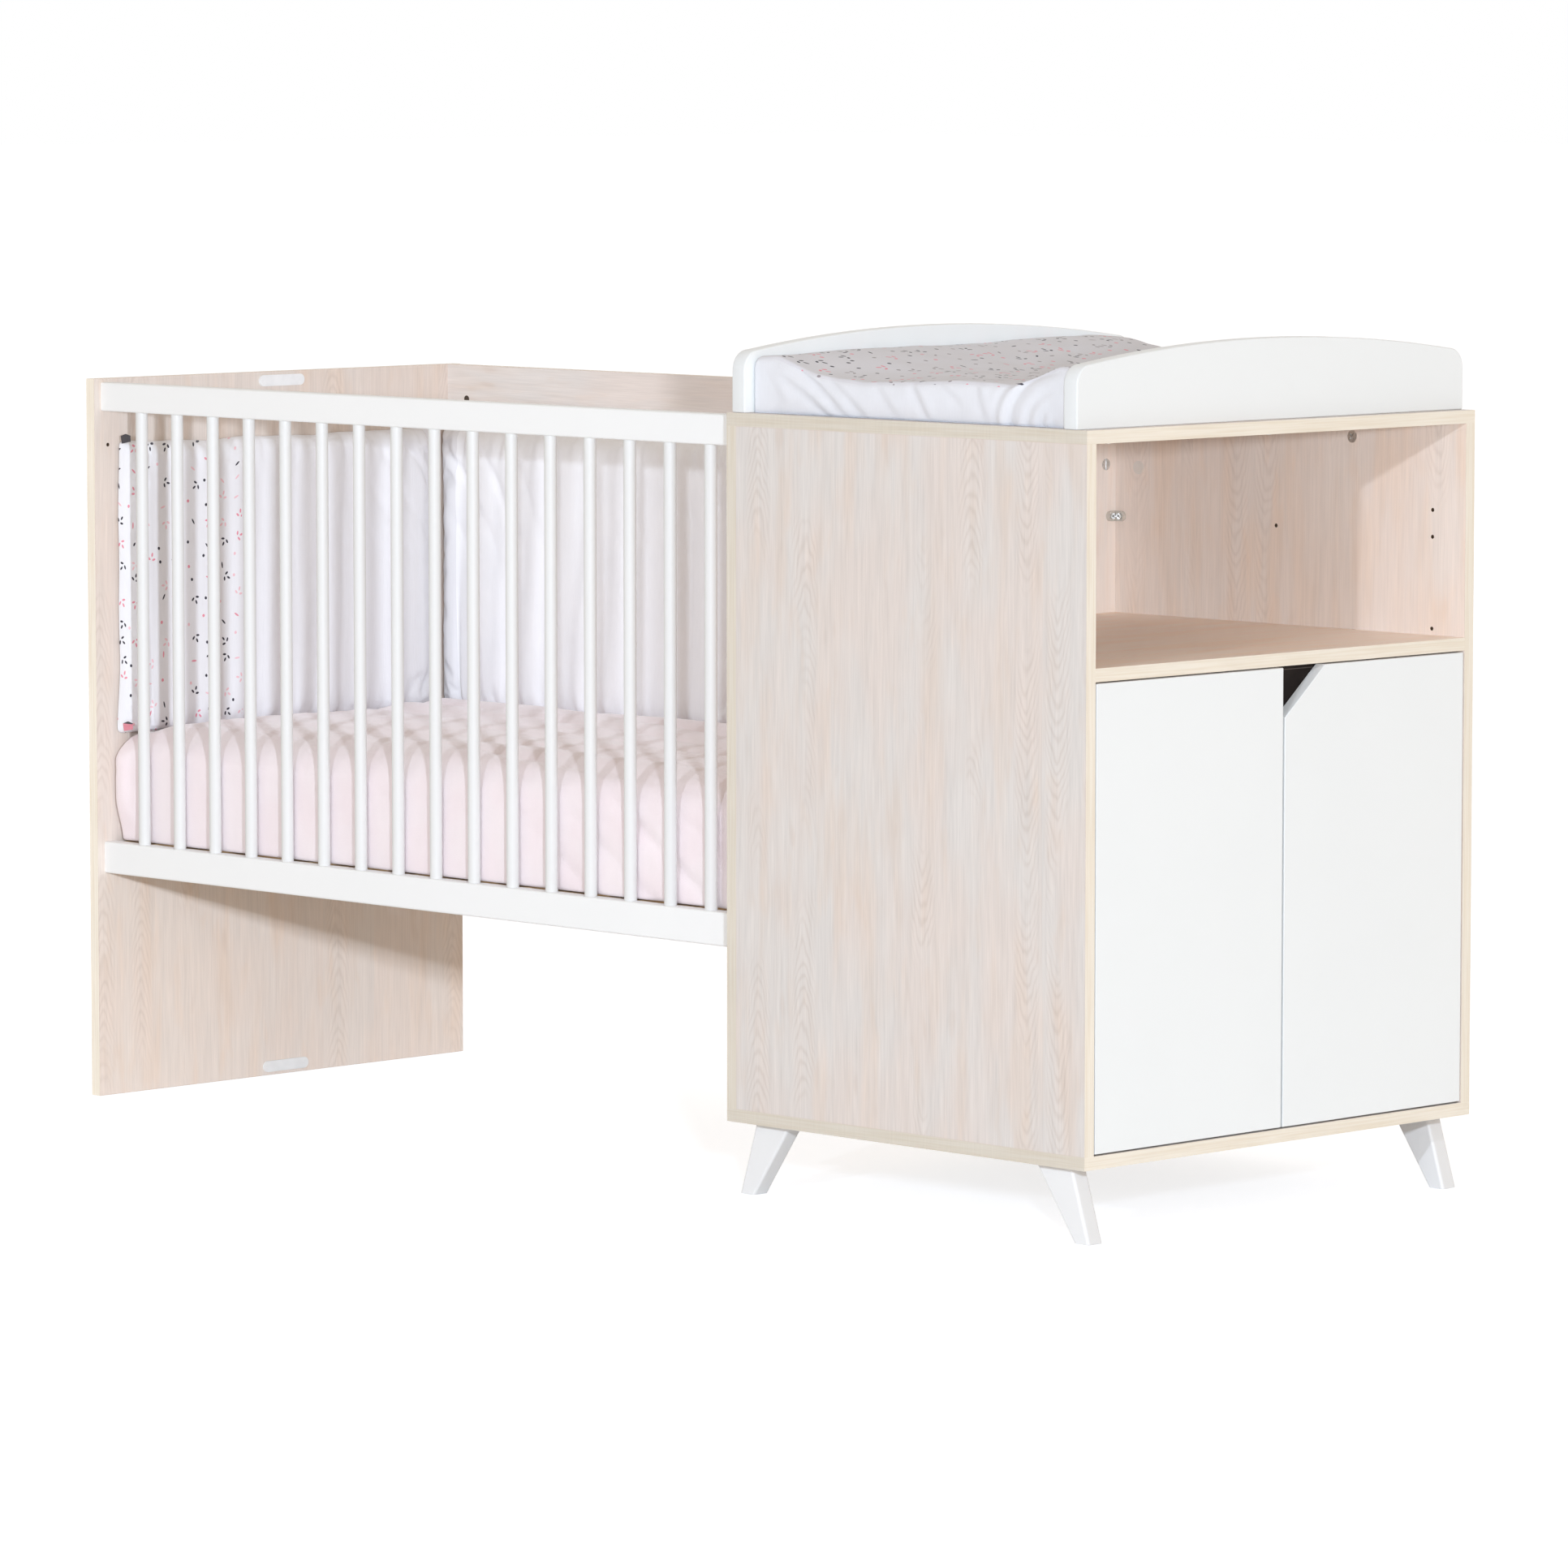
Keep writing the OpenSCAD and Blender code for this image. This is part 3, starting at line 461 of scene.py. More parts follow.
def eased(name, node, body, radius, shortest, finish):
    """A copy of a CAD board whose long sharp edges are rounded over. It stands for that board."""
    form = cad_form(node)
    bmesh.ops.dissolve_limit(form, angle_limit=math.radians(0.5), verts=form.verts, edges=form.edges)
    sharp = [
        edge for edge in form.edges
        if len(edge.link_faces) == 2
        and edge.calc_face_angle(0) > math.radians(30)
        and edge.calc_length() > shortest
    ]
    bmesh.ops.bevel(form, geom=sharp, offset=radius, segments=3, profile=0.5, affect="EDGES",
                    clamp_overlap=True, harden_normals=False)
    mesh = mesh_of(form, name)
    board = put(name, mesh)
    mesh.materials.append(finish)
    mesh.shade_smooth()
    mesh.set_sharp_from_angle(angle=math.radians(32))

    # A flat face's corners take its own direction, so that it stays flat in the light
    normals = [corner.normal.copy() for corner in mesh.vertices]
    for face in sorted(mesh.polygons, key=lambda face: face.area):
        if face.area > FLAT_FACE:
            for corner in face.vertices:
                normals[corner] = face.normal.copy()
    mesh.normals_split_custom_set_from_vertices(normals)
    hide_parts(node)
    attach(board, body)


FOIL = (0.890, 0.925, 0.930)
FOIL_GREY = (0.860, 0.896, 0.902)
# The doors and the changer boards are drawn darker on faces towards -Y and +Y: painted shade
lacquer_board = material("white_lacquer_board", lacquer, None, FOIL, FOIL_GREY, 0.30, 0.14)
eased("near_door_leaf", "near_door", "near_door", DOOR_EASE, 0.012, lacquer_board)
eased("far_door_leaf", "far_door", "far_door", DOOR_EASE, 0.012, lacquer_board)


def black_foil():
    spot = place()
    low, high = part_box("pull_plate")
    grit = mottle(spot, 1200.0, 1.0)
    haze = mottle(spot, 40.0)
    # A lighter hairline 4 mm in from its -Y and top edges is a painted highlight, where a raised rim
    # would catch the light
    margin = 0.004
    inset = (spot[1] - low[1] - margin).math("MINIMUM", high[2] - spot[2] - margin)
    line = abs(inset).ease(0.0002, 0.0007, 0.5, 0.0)
    return {
        "Base Color": mix(line, mix(haze.ease(0.3, 0.7), (0.012, 0.008, 0.007), (0.018, 0.013, 0.011)),
                          (0.16, 0.14, 0.13)),
        "Roughness": 0.48 + grit * 0.12,
        "Specular IOR Level": 0.12,
        "Normal": bump(grit, 0.00006, 0.4),
    }


dress(["pull_plate"], material("black_plate", black_foil))


# ---- Changer boards ----
# Two arched 22 mm boards with rounded edges, lacquered white, are screwed on top of the dresser from
# below. They hold the pad between them.

CHANGER_EASE = 0.0020
eased("changer_arch_back", "changer_board_back", "frame", CHANGER_EASE, 0.0015, lacquer_board)
eased("changer_arch_front", "changer_board_front", "frame", CHANGER_EASE, 0.0015, lacquer_board)


# ---- Mattress ----
# A foam block in a white quilted ticking, with a piped seam round its top and its bottom edge. It lies
# loose on the slats, 10 mm shorter than the cot at each end.

def applied(piece):
    """The mesh that a passing object's modifiers make. The object and its own mesh go."""
    start = piece.data
    made = bpy.data.meshes.new_from_object(piece.evaluated_get(bpy.context.evaluated_depsgraph_get()))
    bpy.data.objects.remove(piece)
    bpy.data.meshes.remove(start)
    return made


def even_mesh(node, voxel):
    """A closed mesh of even squares with the form of a soft CAD solid."""
    start = put("rough_form", mesh_of(cad_form(node), node + "_even"))
    even = start.modifiers.new("even", "REMESH")
    even.mode = "VOXEL"
    even.voxel_size = voxel
    return applied(start)


def points_of(mesh, kind="co"):
    """Each point's place, or its direction where kind is "normal"."""
    values = np.empty(len(mesh.vertices) * 3, dtype=np.float32)
    mesh.vertices.foreach_get(kind, values)
    return values.reshape(-1, 3).astype(float)


def set_points(mesh, points):
    mesh.vertices.foreach_set("co", np.asarray(points, dtype=np.float32).ravel())
    mesh.update()


def rise(low, high, value):
    """Goes smoothly from 0 to 1 as value goes from low to high."""
    t = np.clip((value - low) / (high - low), 0, 1)
    return t * t * (3 - 2 * t)


def soft_piece(name, mesh, node, finish):
    """A padded piece of the frame that stands for a soft CAD solid."""
    piece = put(name, mesh)
    mesh.materials.append(finish)
    mesh.shade_smooth()
    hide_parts(node)
    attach(piece, "frame")
    return piece


def rounded_loop(z, steps=7):
    """Points round the mattress, just inside its rounded corners, at one height."""
    (left, front, _), (right, back, _) = low, high
    reach = MATTRESS_CORNER - PIPING
    route = []
    for number, (x, y) in enumerate(((right, back), (left, back), (left, front), (right, front))):
        cx = x + (MATTRESS_CORNER if x == left else -MATTRESS_CORNER)
        cy = y + (MATTRESS_CORNER if y == front else -MATTRESS_CORNER)
        for step in range(steps + 1):
            angle = math.pi / 2 * (number + step / steps)
            route.append(Vector((cx + math.cos(angle) * reach, cy + math.sin(angle) * reach, z)))
    return route


def piping(name, z, sides=8):
    """A round cord in ticking, sewn round the mattress at one height."""
    form = bmesh.new()
    route = rounded_loop(z)
    rings = []
    for i, point in enumerate(route):
        run = (route[(i + 1) % len(route)] - route[i - 1]).normalized()
        side = run.cross(Vector((0, 0, 1))).normalized()
        up = side.cross(run)
        turns = [math.tau * k / sides for k in range(sides)]
        ring = [point + (side * math.cos(a) + up * math.sin(a)) * PIPING for a in turns]
        rings.append([form.verts.new(corner) for corner in ring])
    for one, other in zip(rings, rings[1:] + rings[:1]):
        for k in range(sides):
            form.faces.new((one[k], one[(k + 1) % sides], other[(k + 1) % sides], other[k]))
    bmesh.ops.recalc_face_normals(form, faces=form.faces)
    mesh = mesh_of(form, name)
    mesh.materials.append(mattress_ticking)
    mesh.shade_smooth()
    cord = put(name, mesh)
    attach(cord, "frame")


def weave(spot, pitch):
    """Height of a plain weave that needs no unwrapping: fine ripples on all three axes."""
    x, y, z = ((p * (math.tau / pitch)).math("SINE") for p in spot)
    return x + y + z


MATTRESS_CORNER = 0.022
PIPING = 0.0026
PIPING_IN = 0.008
# Turn of the quilting's waves, in radians to the metre
QUILTING = 34.0


def ticking():
    spot = place()
    one_way, other_way = spot[0] + spot[1], spot[0] - spot[1]
    lines = [abs((way * QUILTING).math("SINE")) for way in (one_way, other_way)]
    stitch = lines[0].math("MINIMUM", lines[1]).ease(0.0, 0.30)
    cloth = weave(spot, 0.0011)
    tone = mottle(spot, 8.0)
    return {
        "Base Color": mix(tone.ease(0.3, 0.7), (0.83, 0.83, 0.81), (0.78, 0.78, 0.75)),
        "Roughness": 0.84 + tone * 0.08,
        "Normal": bump(stitch * 5.0 + cloth * 0.1, 0.0009, 0.6),
    }


mattress_ticking = material("mattress_ticking", ticking)
low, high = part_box("mattress")
mattress_mesh = even_mesh("mattress", 0.009)
points = points_of(mattress_mesh)
normals = points_of(mattress_mesh, "normal")

# The block's edges are drawn in towards the piping and its faces swell a little between quilting lines
to_side = np.minimum(np.minimum(points[:, 0] - low[0], high[0] - points[:, 0]),
                     np.minimum(points[:, 1] - low[1], high[1] - points[:, 1]))
to_flat = np.minimum(points[:, 2] - low[2], high[2] - points[:, 2])
puff = 0.5 + 0.5 * np.sin(points[:, 0] * QUILTING) * np.sin(points[:, 1] * QUILTING)
puff = puff * rise(0.01, 0.05, to_side)
points -= normals * (0.0010 + 0.0022 * (1 - puff))[:, None]
points -= normals * (0.0030 * (1 - rise(0.0, 0.016, to_side + to_flat)))[:, None]
set_points(mattress_mesh, points)
soft_piece("mattress_block", mattress_mesh, "mattress", mattress_ticking)
piping("mattress_piping_low", low[2] + PIPING_IN)
piping("mattress_piping_high", high[2] - PIPING_IN)


# ---- Quilt ----
# A padded plush quilt lies over the mattress and hangs down behind the bars to the lower rail. The
# bumper presses it flat at the end and at the back.

def plush():
    spot = place()
    nap = mottle(spot, 900.0)
    brushed = mottle(spot, streaks(60.0, 2, 24.0), 3.0)
    patch = mottle(spot, 13.0)
    pink = mix(patch.ease(0.3, 0.7), (0.905, 0.795, 0.815), (0.915, 0.830, 0.845))
    # A paler rim where the plush turns away from view is painted sheen
    rim = Shade.node("LayerWeight", inputs={"Blend": 0.35}).out("Facing")
    pink_and_painted_sheen = brighten(mix(rim * 0.35, pink, (0.95, 0.90, 0.91)), 0.925 + brushed * 0.05 + nap * 0.04)
    return {
        "Base Color": pink_and_painted_sheen,
        "Roughness": 0.88 + nap * 0.08,
        "Sheen Weight": 0.30,
        "Sheen Roughness": 0.45,
        "Normal": bump(nap * 0.5 + brushed * 0.8, 0.0011, 0.55),
    }


def sewn(name, outer, inner):
    """A closed mesh of two cloths, each a grid of points, sewn together all round their edges."""
    rows, columns = outer.shape[:2]
    index = np.arange(rows * columns).reshape(rows, columns)
    a, b, c, d = index[:-1, :-1], index[1:, :-1], index[1:, 1:], index[:-1, 1:]
    top = np.stack([a, b, c, d], axis=-1).reshape(-1, 4)
    bottom = top[:, ::-1] + rows * columns
    border = np.concatenate([index[:, 0], index[-1, 1:], index[-2::-1, -1], index[0, -2:0:-1]])
    following = np.roll(border, -1)
    seam = np.stack([following, border, border + rows * columns, following + rows * columns], axis=-1)
    points = np.concatenate([outer.reshape(-1, 3), inner.reshape(-1, 3)])
    mesh = bpy.data.meshes.new(name)
    mesh.from_pydata(points.tolist(), [], np.concatenate([top, bottom, seam]).tolist())
    form = bmesh.new()
    form.from_mesh(mesh)
    bmesh.ops.recalc_face_normals(form, faces=form.faces)
    form.to_mesh(mesh)
    form.free()
    return mesh


SWELL_FRAMES = 20


def swell(mesh, held, pressure, slack, stiffness, cap):
    """Blows a closed cloth form up a little. held, from 0 to 1 per point, keeps points where they are.

    slack is how much longer the cloth may grow, and cap is about how far a point may move."""
    piece = put("swelling", mesh)
    group = piece.vertex_groups.new(name="held")
    steps = np.round(held, 1)
    for weight in np.unique(steps):
        if weight > 0:
            group.add(np.flatnonzero(steps == weight).tolist(), float(weight), "REPLACE")
    cloth = piece.modifiers.new("cloth", "CLOTH")
    settings = {
        "quality": 6, "mass": 0.25, "air_damping": 2, "shrink_min": -slack,
        "tension_stiffness": 12, "compression_stiffness": 12, "shear_stiffness": 8,
        "bending_stiffness": stiffness, "use_pressure": True, "uniform_pressure_force": pressure,
        "vertex_group_mass": "held", "pin_stiffness": 4,
    }
    for name, value in settings.items():
        setattr(cloth.settings, name, value)
    cloth.settings.effector_weights.gravity = 0
    cloth.collision_settings.use_collision = False
    cloth.collision_settings.use_self_collision = False
    cloth.point_cache.frame_start = 1
    cloth.point_cache.frame_end = SWELL_FRAMES
    start = points_of(mesh)
    scene = bpy.context.scene
    for number in range(1, SWELL_FRAMES + 1):
        scene.frame_set(number)
    puffed = piece.evaluated_get(bpy.context.evaluated_depsgraph_get())
    moved = points_of(puffed.to_mesh()) - start
    puffed.to_mesh_clear()
    bpy.data.objects.remove(piece)
    scene.frame_set(1)
    reach = np.linalg.norm(moved, axis=1)
    moved *= (cap * np.tanh(reach / cap) / np.maximum(reach, 1e-9))[:, None]
    set_points(mesh, start + moved * (1 - held)[:, None])


def refined(mesh):
    """The mesh after one step of subdivision."""
    piece = put("refining", mesh)
    piece.modifiers.new("finer", "SUBSURF").levels = 1
    return applied(piece)


def quarter(distance, width):
    """Rises from 0 to 1 over a width, as a quarter of an ellipse does."""
    t = np.clip(distance / width, 0, 1)
    return np.sqrt(np.clip(1 - (1 - t) ** 2, 0, 1))


def rumples(grid, first_seed=0.0):
    """A function of smooth noise, from about -1 to 1, over a grid of points.

    Its scale gives features to the metre on each axis."""

    def over(scale, seed):
        spots = grid.reshape(-1, 3) * np.asarray(scale) + (first_seed + seed)
        return np.array([noise.noise(spot) for spot in spots]).reshape(grid.shape[:2])

    return over


def bell(value):
    """1 where value is 0, falling to nothing by about 2 on both sides."""
    return np.exp(-value ** 2)


def ridges(phase, width):
    """A bell at each whole number of phase."""
    return bell((phase - np.round(phase)) / width)


# The grid's step, the radius over the mattress's edge, the heights of the hem and of the stitched line
# above it, how wide the bumper presses the quilt flat, and how thick it is there
QUILT_STEP = 0.0065
QUILT_EDGE = 0.034
QUILT_HEM = 0.3413
STITCH_LINE = 0.4385
QUILT_FLAT = 0.034
QUILT_THICK = 0.024
# Its gap to the mattress, how far the drop stands out past the solid, and the grid's rows on the drop,
# round the edge and beside the mattress
BED_GAP = 0.0008
DROP_OUT = 0.0010
DROP_ROWS = 16
TURN_ROWS = 9
BED_ROWS = 20
# Where the first and the last bar stand along the cot, and the step between two bars
FIRST_BAR, LAST_BAR, BAR_PITCH = -0.832, 0.248, 0.072
low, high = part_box("quilt")
bed_low, bed_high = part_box("mattress")
side_top = bed_high[2] + QUILT_THICK
front_y, back_y = low[1] - DROP_OUT, high[1]
under_y, under_z = bed_low[1] - BED_GAP, bed_high[2] + BED_GAP
ring_x = np.linspace(low[0], high[0], round((high[0] - low[0]) / QUILT_STEP) + 1)

# The path over the quilt in one cross-section: up the drop, round the edge, over the top to the back
drop_z = np.linspace(QUILT_HEM, side_top - QUILT_EDGE, DROP_ROWS + 1)[:-1]
turn = np.radians(np.linspace(180, 90, TURN_ROWS + 1))[:-1]
top_size = back_y - front_y - QUILT_EDGE
top_y = np.linspace(front_y + QUILT_EDGE, back_y, round(top_size / QUILT_STEP) + 1)
path_y = np.concatenate([np.full(DROP_ROWS, front_y), front_y + QUILT_EDGE * (1 + np.cos(turn)), top_y])
path_z = np.concatenate([drop_z, side_top - QUILT_EDGE * (1 - np.sin(turn)),
                         np.full(len(top_y), side_top)])

# The path under it, up the mattress's side and over its top, has as many points
flat_rows = len(path_y) - BED_ROWS
bed_y = np.concatenate([np.full(BED_ROWS, under_y), np.linspace(under_y, back_y, flat_rows)])
bed_z = np.concatenate([np.linspace(QUILT_HEM, under_z, BED_ROWS), np.full(flat_rows, under_z)])
outer = np.zeros((len(ring_x), len(path_y), 3))
outer[..., 0] = ring_x[:, None]
outer[..., 1] = path_y
outer[..., 2] = path_z
inner = outer.copy()
inner[..., 1] = bed_y
inner[..., 2] = bed_z
x, y, z = (outer[..., axis] for axis in range(3))

over_quilt = rumples(outer)
lean = np.concatenate([np.zeros(DROP_ROWS), np.sin(turn), np.ones(len(top_y))])
lean = np.broadcast_to(lean, x.shape)
from_end = quarter(x - low[0] - QUILT_FLAT, 0.030)
from_back = quarter(back_y - QUILT_FLAT - y, 0.040)
free = from_end * from_back * rise(0.0, 1.0, lean)
crown = free * (0.015 * rise(-0.01, 0.08, y - front_y) + 0.006 * rise(0.1, 0.25, y))

# Soft round folds with narrow valleys run along the top, and drift and fork on their way
drift = 0.060 * over_quilt((1.3, 1.0, 1.0), 3.0) + 0.012 * over_quilt((4.5, 6.0, 1.0), 7.0)
fold = np.abs(np.sin((y + drift + 0.12 * x) * np.pi / 0.078)) ** 0.55 - 0.68
height = free * 0.0085 * fold * (0.65 + 0.90 * over_quilt((1.8, 5.0, 1.0), 17.0))
small = 0.0034 * over_quilt((2.6, 19.0, 1.0), 23.0) + 0.0050 * over_quilt((2.0, 3.0, 1.0), 29.0)
height += free * small
wrinkle = 1 - np.abs(over_quilt((4.5, 34.0, 1.0), 59.0)) * 3.2
height -= free * 0.0018 * np.clip(wrinkle, 0, 1) ** 2

# A slanting pair of creases crosses the right end of the top
for shift, tilt in ((0.215, 0.9), (0.285, -0.7)):
    off = (x - shift) + (y - 0.02) * tilt
    valley = bell(off / 0.009) * rise(-0.18, -0.05, y) * (1 - rise(0.1, 0.2, y))
    height -= free * 0.0075 * valley
outer[..., 2] += crown + height

# Slanting creases at the right of the front drop, and shallow rumples all over it
fading = 1 - rise(0, TURN_ROWS, np.arange(TURN_ROWS))
drop = np.broadcast_to(np.concatenate([np.ones(DROP_ROWS), fading, np.zeros(len(top_y))]), x.shape)
slant = (z * math.cos(math.radians(33)) + x * math.sin(math.radians(33))) / 0.060
crease = -ridges(slant, 0.14) * rise(-0.15, 0.08, x)
crease *= rise(0.0, 0.5, over_quilt((6.0, 1.0, 8.0), 31.0) + 0.3)
line = bell((z - STITCH_LINE) / 0.0032)
push = 0.0050 * crease + 0.0030 * (over_quilt((10.0, 1.0, 8.0), 37.0) - 0.5) - 0.0016 * line
outer[..., 1] -= drop * push

# The ends are rounded over. Past the first and the last bar the drop bulges out at half height
bulge = rise(0.345, 0.40, z) * (1 - rise(0.45, 0.49, z))
past_bars = rise(0.012, 0.040, FIRST_BAR - x) + rise(0.012, 0.040, x - LAST_BAR)
outer[..., 1] -= 0.010 * bulge * past_bars * (1 - 0.5 * lean)
for end, way in ((low[0], 1), (high[0], -1)):
    away = np.abs(x - end)
    round_over = 1 - quarter(away, 0.013)
    outer[..., 1] += round_over * 0.009 * (1 - lean)
    outer[..., 2] -= round_over * 0.010 * lean
    tuck = (0.002 + 0.003 * over_quilt((1.0, 12.0, 16.0), 43.0)) * (1 - rise(0, 0.03, away))
    outer[..., 0] += way * tuck * (1 - bulge)
quilt_mesh = sewn("plush_quilt", outer, inner)
free_share = np.concatenate([np.maximum(free, drop * 0.8).ravel(), np.zeros(x.size)])
swell(quilt_mesh, 1 - free_share, 3.5, 0.020, 1.5, 0.006)

# Nothing bulges past the bars, the boards or the mattress
points = points_of(quilt_mesh)
bar_number = np.clip(np.round((points[:, 0] - FIRST_BAR) / BAR_PITCH), 0, 15)
beside = np.abs(points[:, 0] - FIRST_BAR - bar_number * BAR_PITCH)
room = 0.0026 * rise(0.008, 0.020, beside) + 0.0080 * rise(0.036, 0.050, beside)
points[:, 1] = np.clip(points[:, 1], low[1] - 0.0006 - room, high[1])
points[:, 0] = np.clip(points[:, 0], low[0], high[0])
set_points(quilt_mesh, points)
quilt_plush = material("pink_plush", plush)
soft_piece("plush_quilt", refined(quilt_mesh), "quilt", quilt_plush)


# ---- Bumper ----
# A long thin cushion of printed and plain white cotton in three segments stands on the quilt, one on
# the end panel and two on the back panel. Short dark ribbons are sewn to its free corners.

WHITE_COTTON = (0.950, 0.955, 0.972)
CREAM_COTTON = (0.925, 0.932, 0.952)
# The end segment's plain cloth is drawn greyer with this: painted shade
END_SEGMENT_SHADE_COTTON = (0.800, 0.800, 0.825)
INK = (0.035, 0.032, 0.048)
ROSE = (0.800, 0.290, 0.360)
ROSE_PALE = (0.860, 0.560, 0.600)
# Of all figures, the share of dots and the share of dots and dashes, and then the share in ink and the
# share in ink and rose
DOTS, DOTS_DASHES = 0.46, 0.66
DARK, DARK_ROSE = 0.44, 0.74


def seeds(u, v, pitch, unit, ground, chalk):
    """A scatter of dots, dashes and three-seed sprigs on cotton, each turned its own way."""
    flat = {"voronoi_dimensions": "2D"}
    spot = Shade.node("CombineXYZ", inputs={0: u, 1: v})
    cell = Shade.node("TexVoronoi", flat, {"Vector": spot, "Scale": 1 / pitch, "Randomness": 0.62})
    kind, turn, dye = split(cell.out("Color"))
    middle = split(cell.out("Position"))
    du, dv = u - middle[0], v - middle[1]
    angle = turn * math.tau
    cosine, sine = angle.math("COSINE"), angle.math("SINE")
    p, q = du * cosine + dv * sine, dv * cosine - du * sine

    def seed(cx, cy, length, width, tilt):
        """1 inside one seed, whose long axis leans by tilt from q."""
        a, b = p - cx, q - cy
        c, s = math.cos(tilt), math.sin(tilt)
        across, along = a * c + b * s, b * c - a * s
        size = ((across / width) ** 2 + (along / length) ** 2) ** 0.5
        return size.ease(0.85, 1.15, 1.0, 0.0)

    dot = seed(0.0, 0.0, unit * 0.75, unit * 0.70, 0.0)
    dash = seed(0.0, 0.0, unit * 1.5, unit * 0.42, 0.0)
    sprig = seed(0.0, unit * 1.5, unit, unit * 0.5, 0.0)
    for way in (1, -1):
        sprig = sprig.math("MAXIMUM", seed(way * unit * 1.4, -unit * 0.5, unit, unit * 0.5, way * -1.1))
    shape = dot * (kind < DOTS) + dash * (kind > DOTS) * (kind < DOTS_DASHES)
    shape = shape + sprig * (kind > DOTS_DASHES)
    colour = mix(dye > DARK, INK, ROSE)
    colour = mix(dye > DARK_ROSE, colour, chalk)
    return mix(shape, ground, colour)


def cotton(printed):
    """Plain-woven cotton. printed(spot, tone) gives its ground colour."""
    spot = place()
    slub = mottle(spot, streaks(420.0, 2, 60.0))
    tone = mottle(spot, 18.0)
    cloth = weave(spot, 0.0009)
    colour = brighten(printed(spot, tone), 0.965 + slub * 0.05)
    return {
        "Base Color": colour,
        "Roughness": 0.82 + slub * 0.10,
        "Sheen Weight": 0.12,
        "Sheen Roughness": 0.5,
        "Normal": bump(cloth * 0.12 + slub, 0.00028, 0.5),
    }


PRINT_END = -0.093


def bumper_print(spot, tone):
    at_end = spot[0] < -0.86
    plain = mix(tone.ease(0.3, 0.7), WHITE_COTTON, CREAM_COTTON)
    # The end segment's cloth is drawn greyer than the rest: painted shade
    plain = mix(at_end * 0.75, plain, END_SEGMENT_SHADE_COTTON)
    strip = seeds(spot[1] + spot[0], spot[2], 0.0260, 0.0029, plain, ROSE_PALE)
    return mix((spot[1] < PRINT_END) * at_end, plain, strip)


bumper_cotton = material("bumper_cotton", cotton, bumper_print)
BUMPER_STEP = 0.0050
BUMPER_FULL = 0.0190
BUMPER_EDGE = 0.0022
BUMPER_CORNER = 0.008
# How far it sinks into the quilt
BUMPER_SINK = 0.0018


def edge_dense(count):
    """Numbers from 0 to 1 that lie closer together near both ends."""
    t = np.linspace(0, 1, count + 1)
    return t - 0.55 * np.sin(math.tau * t) / math.tau


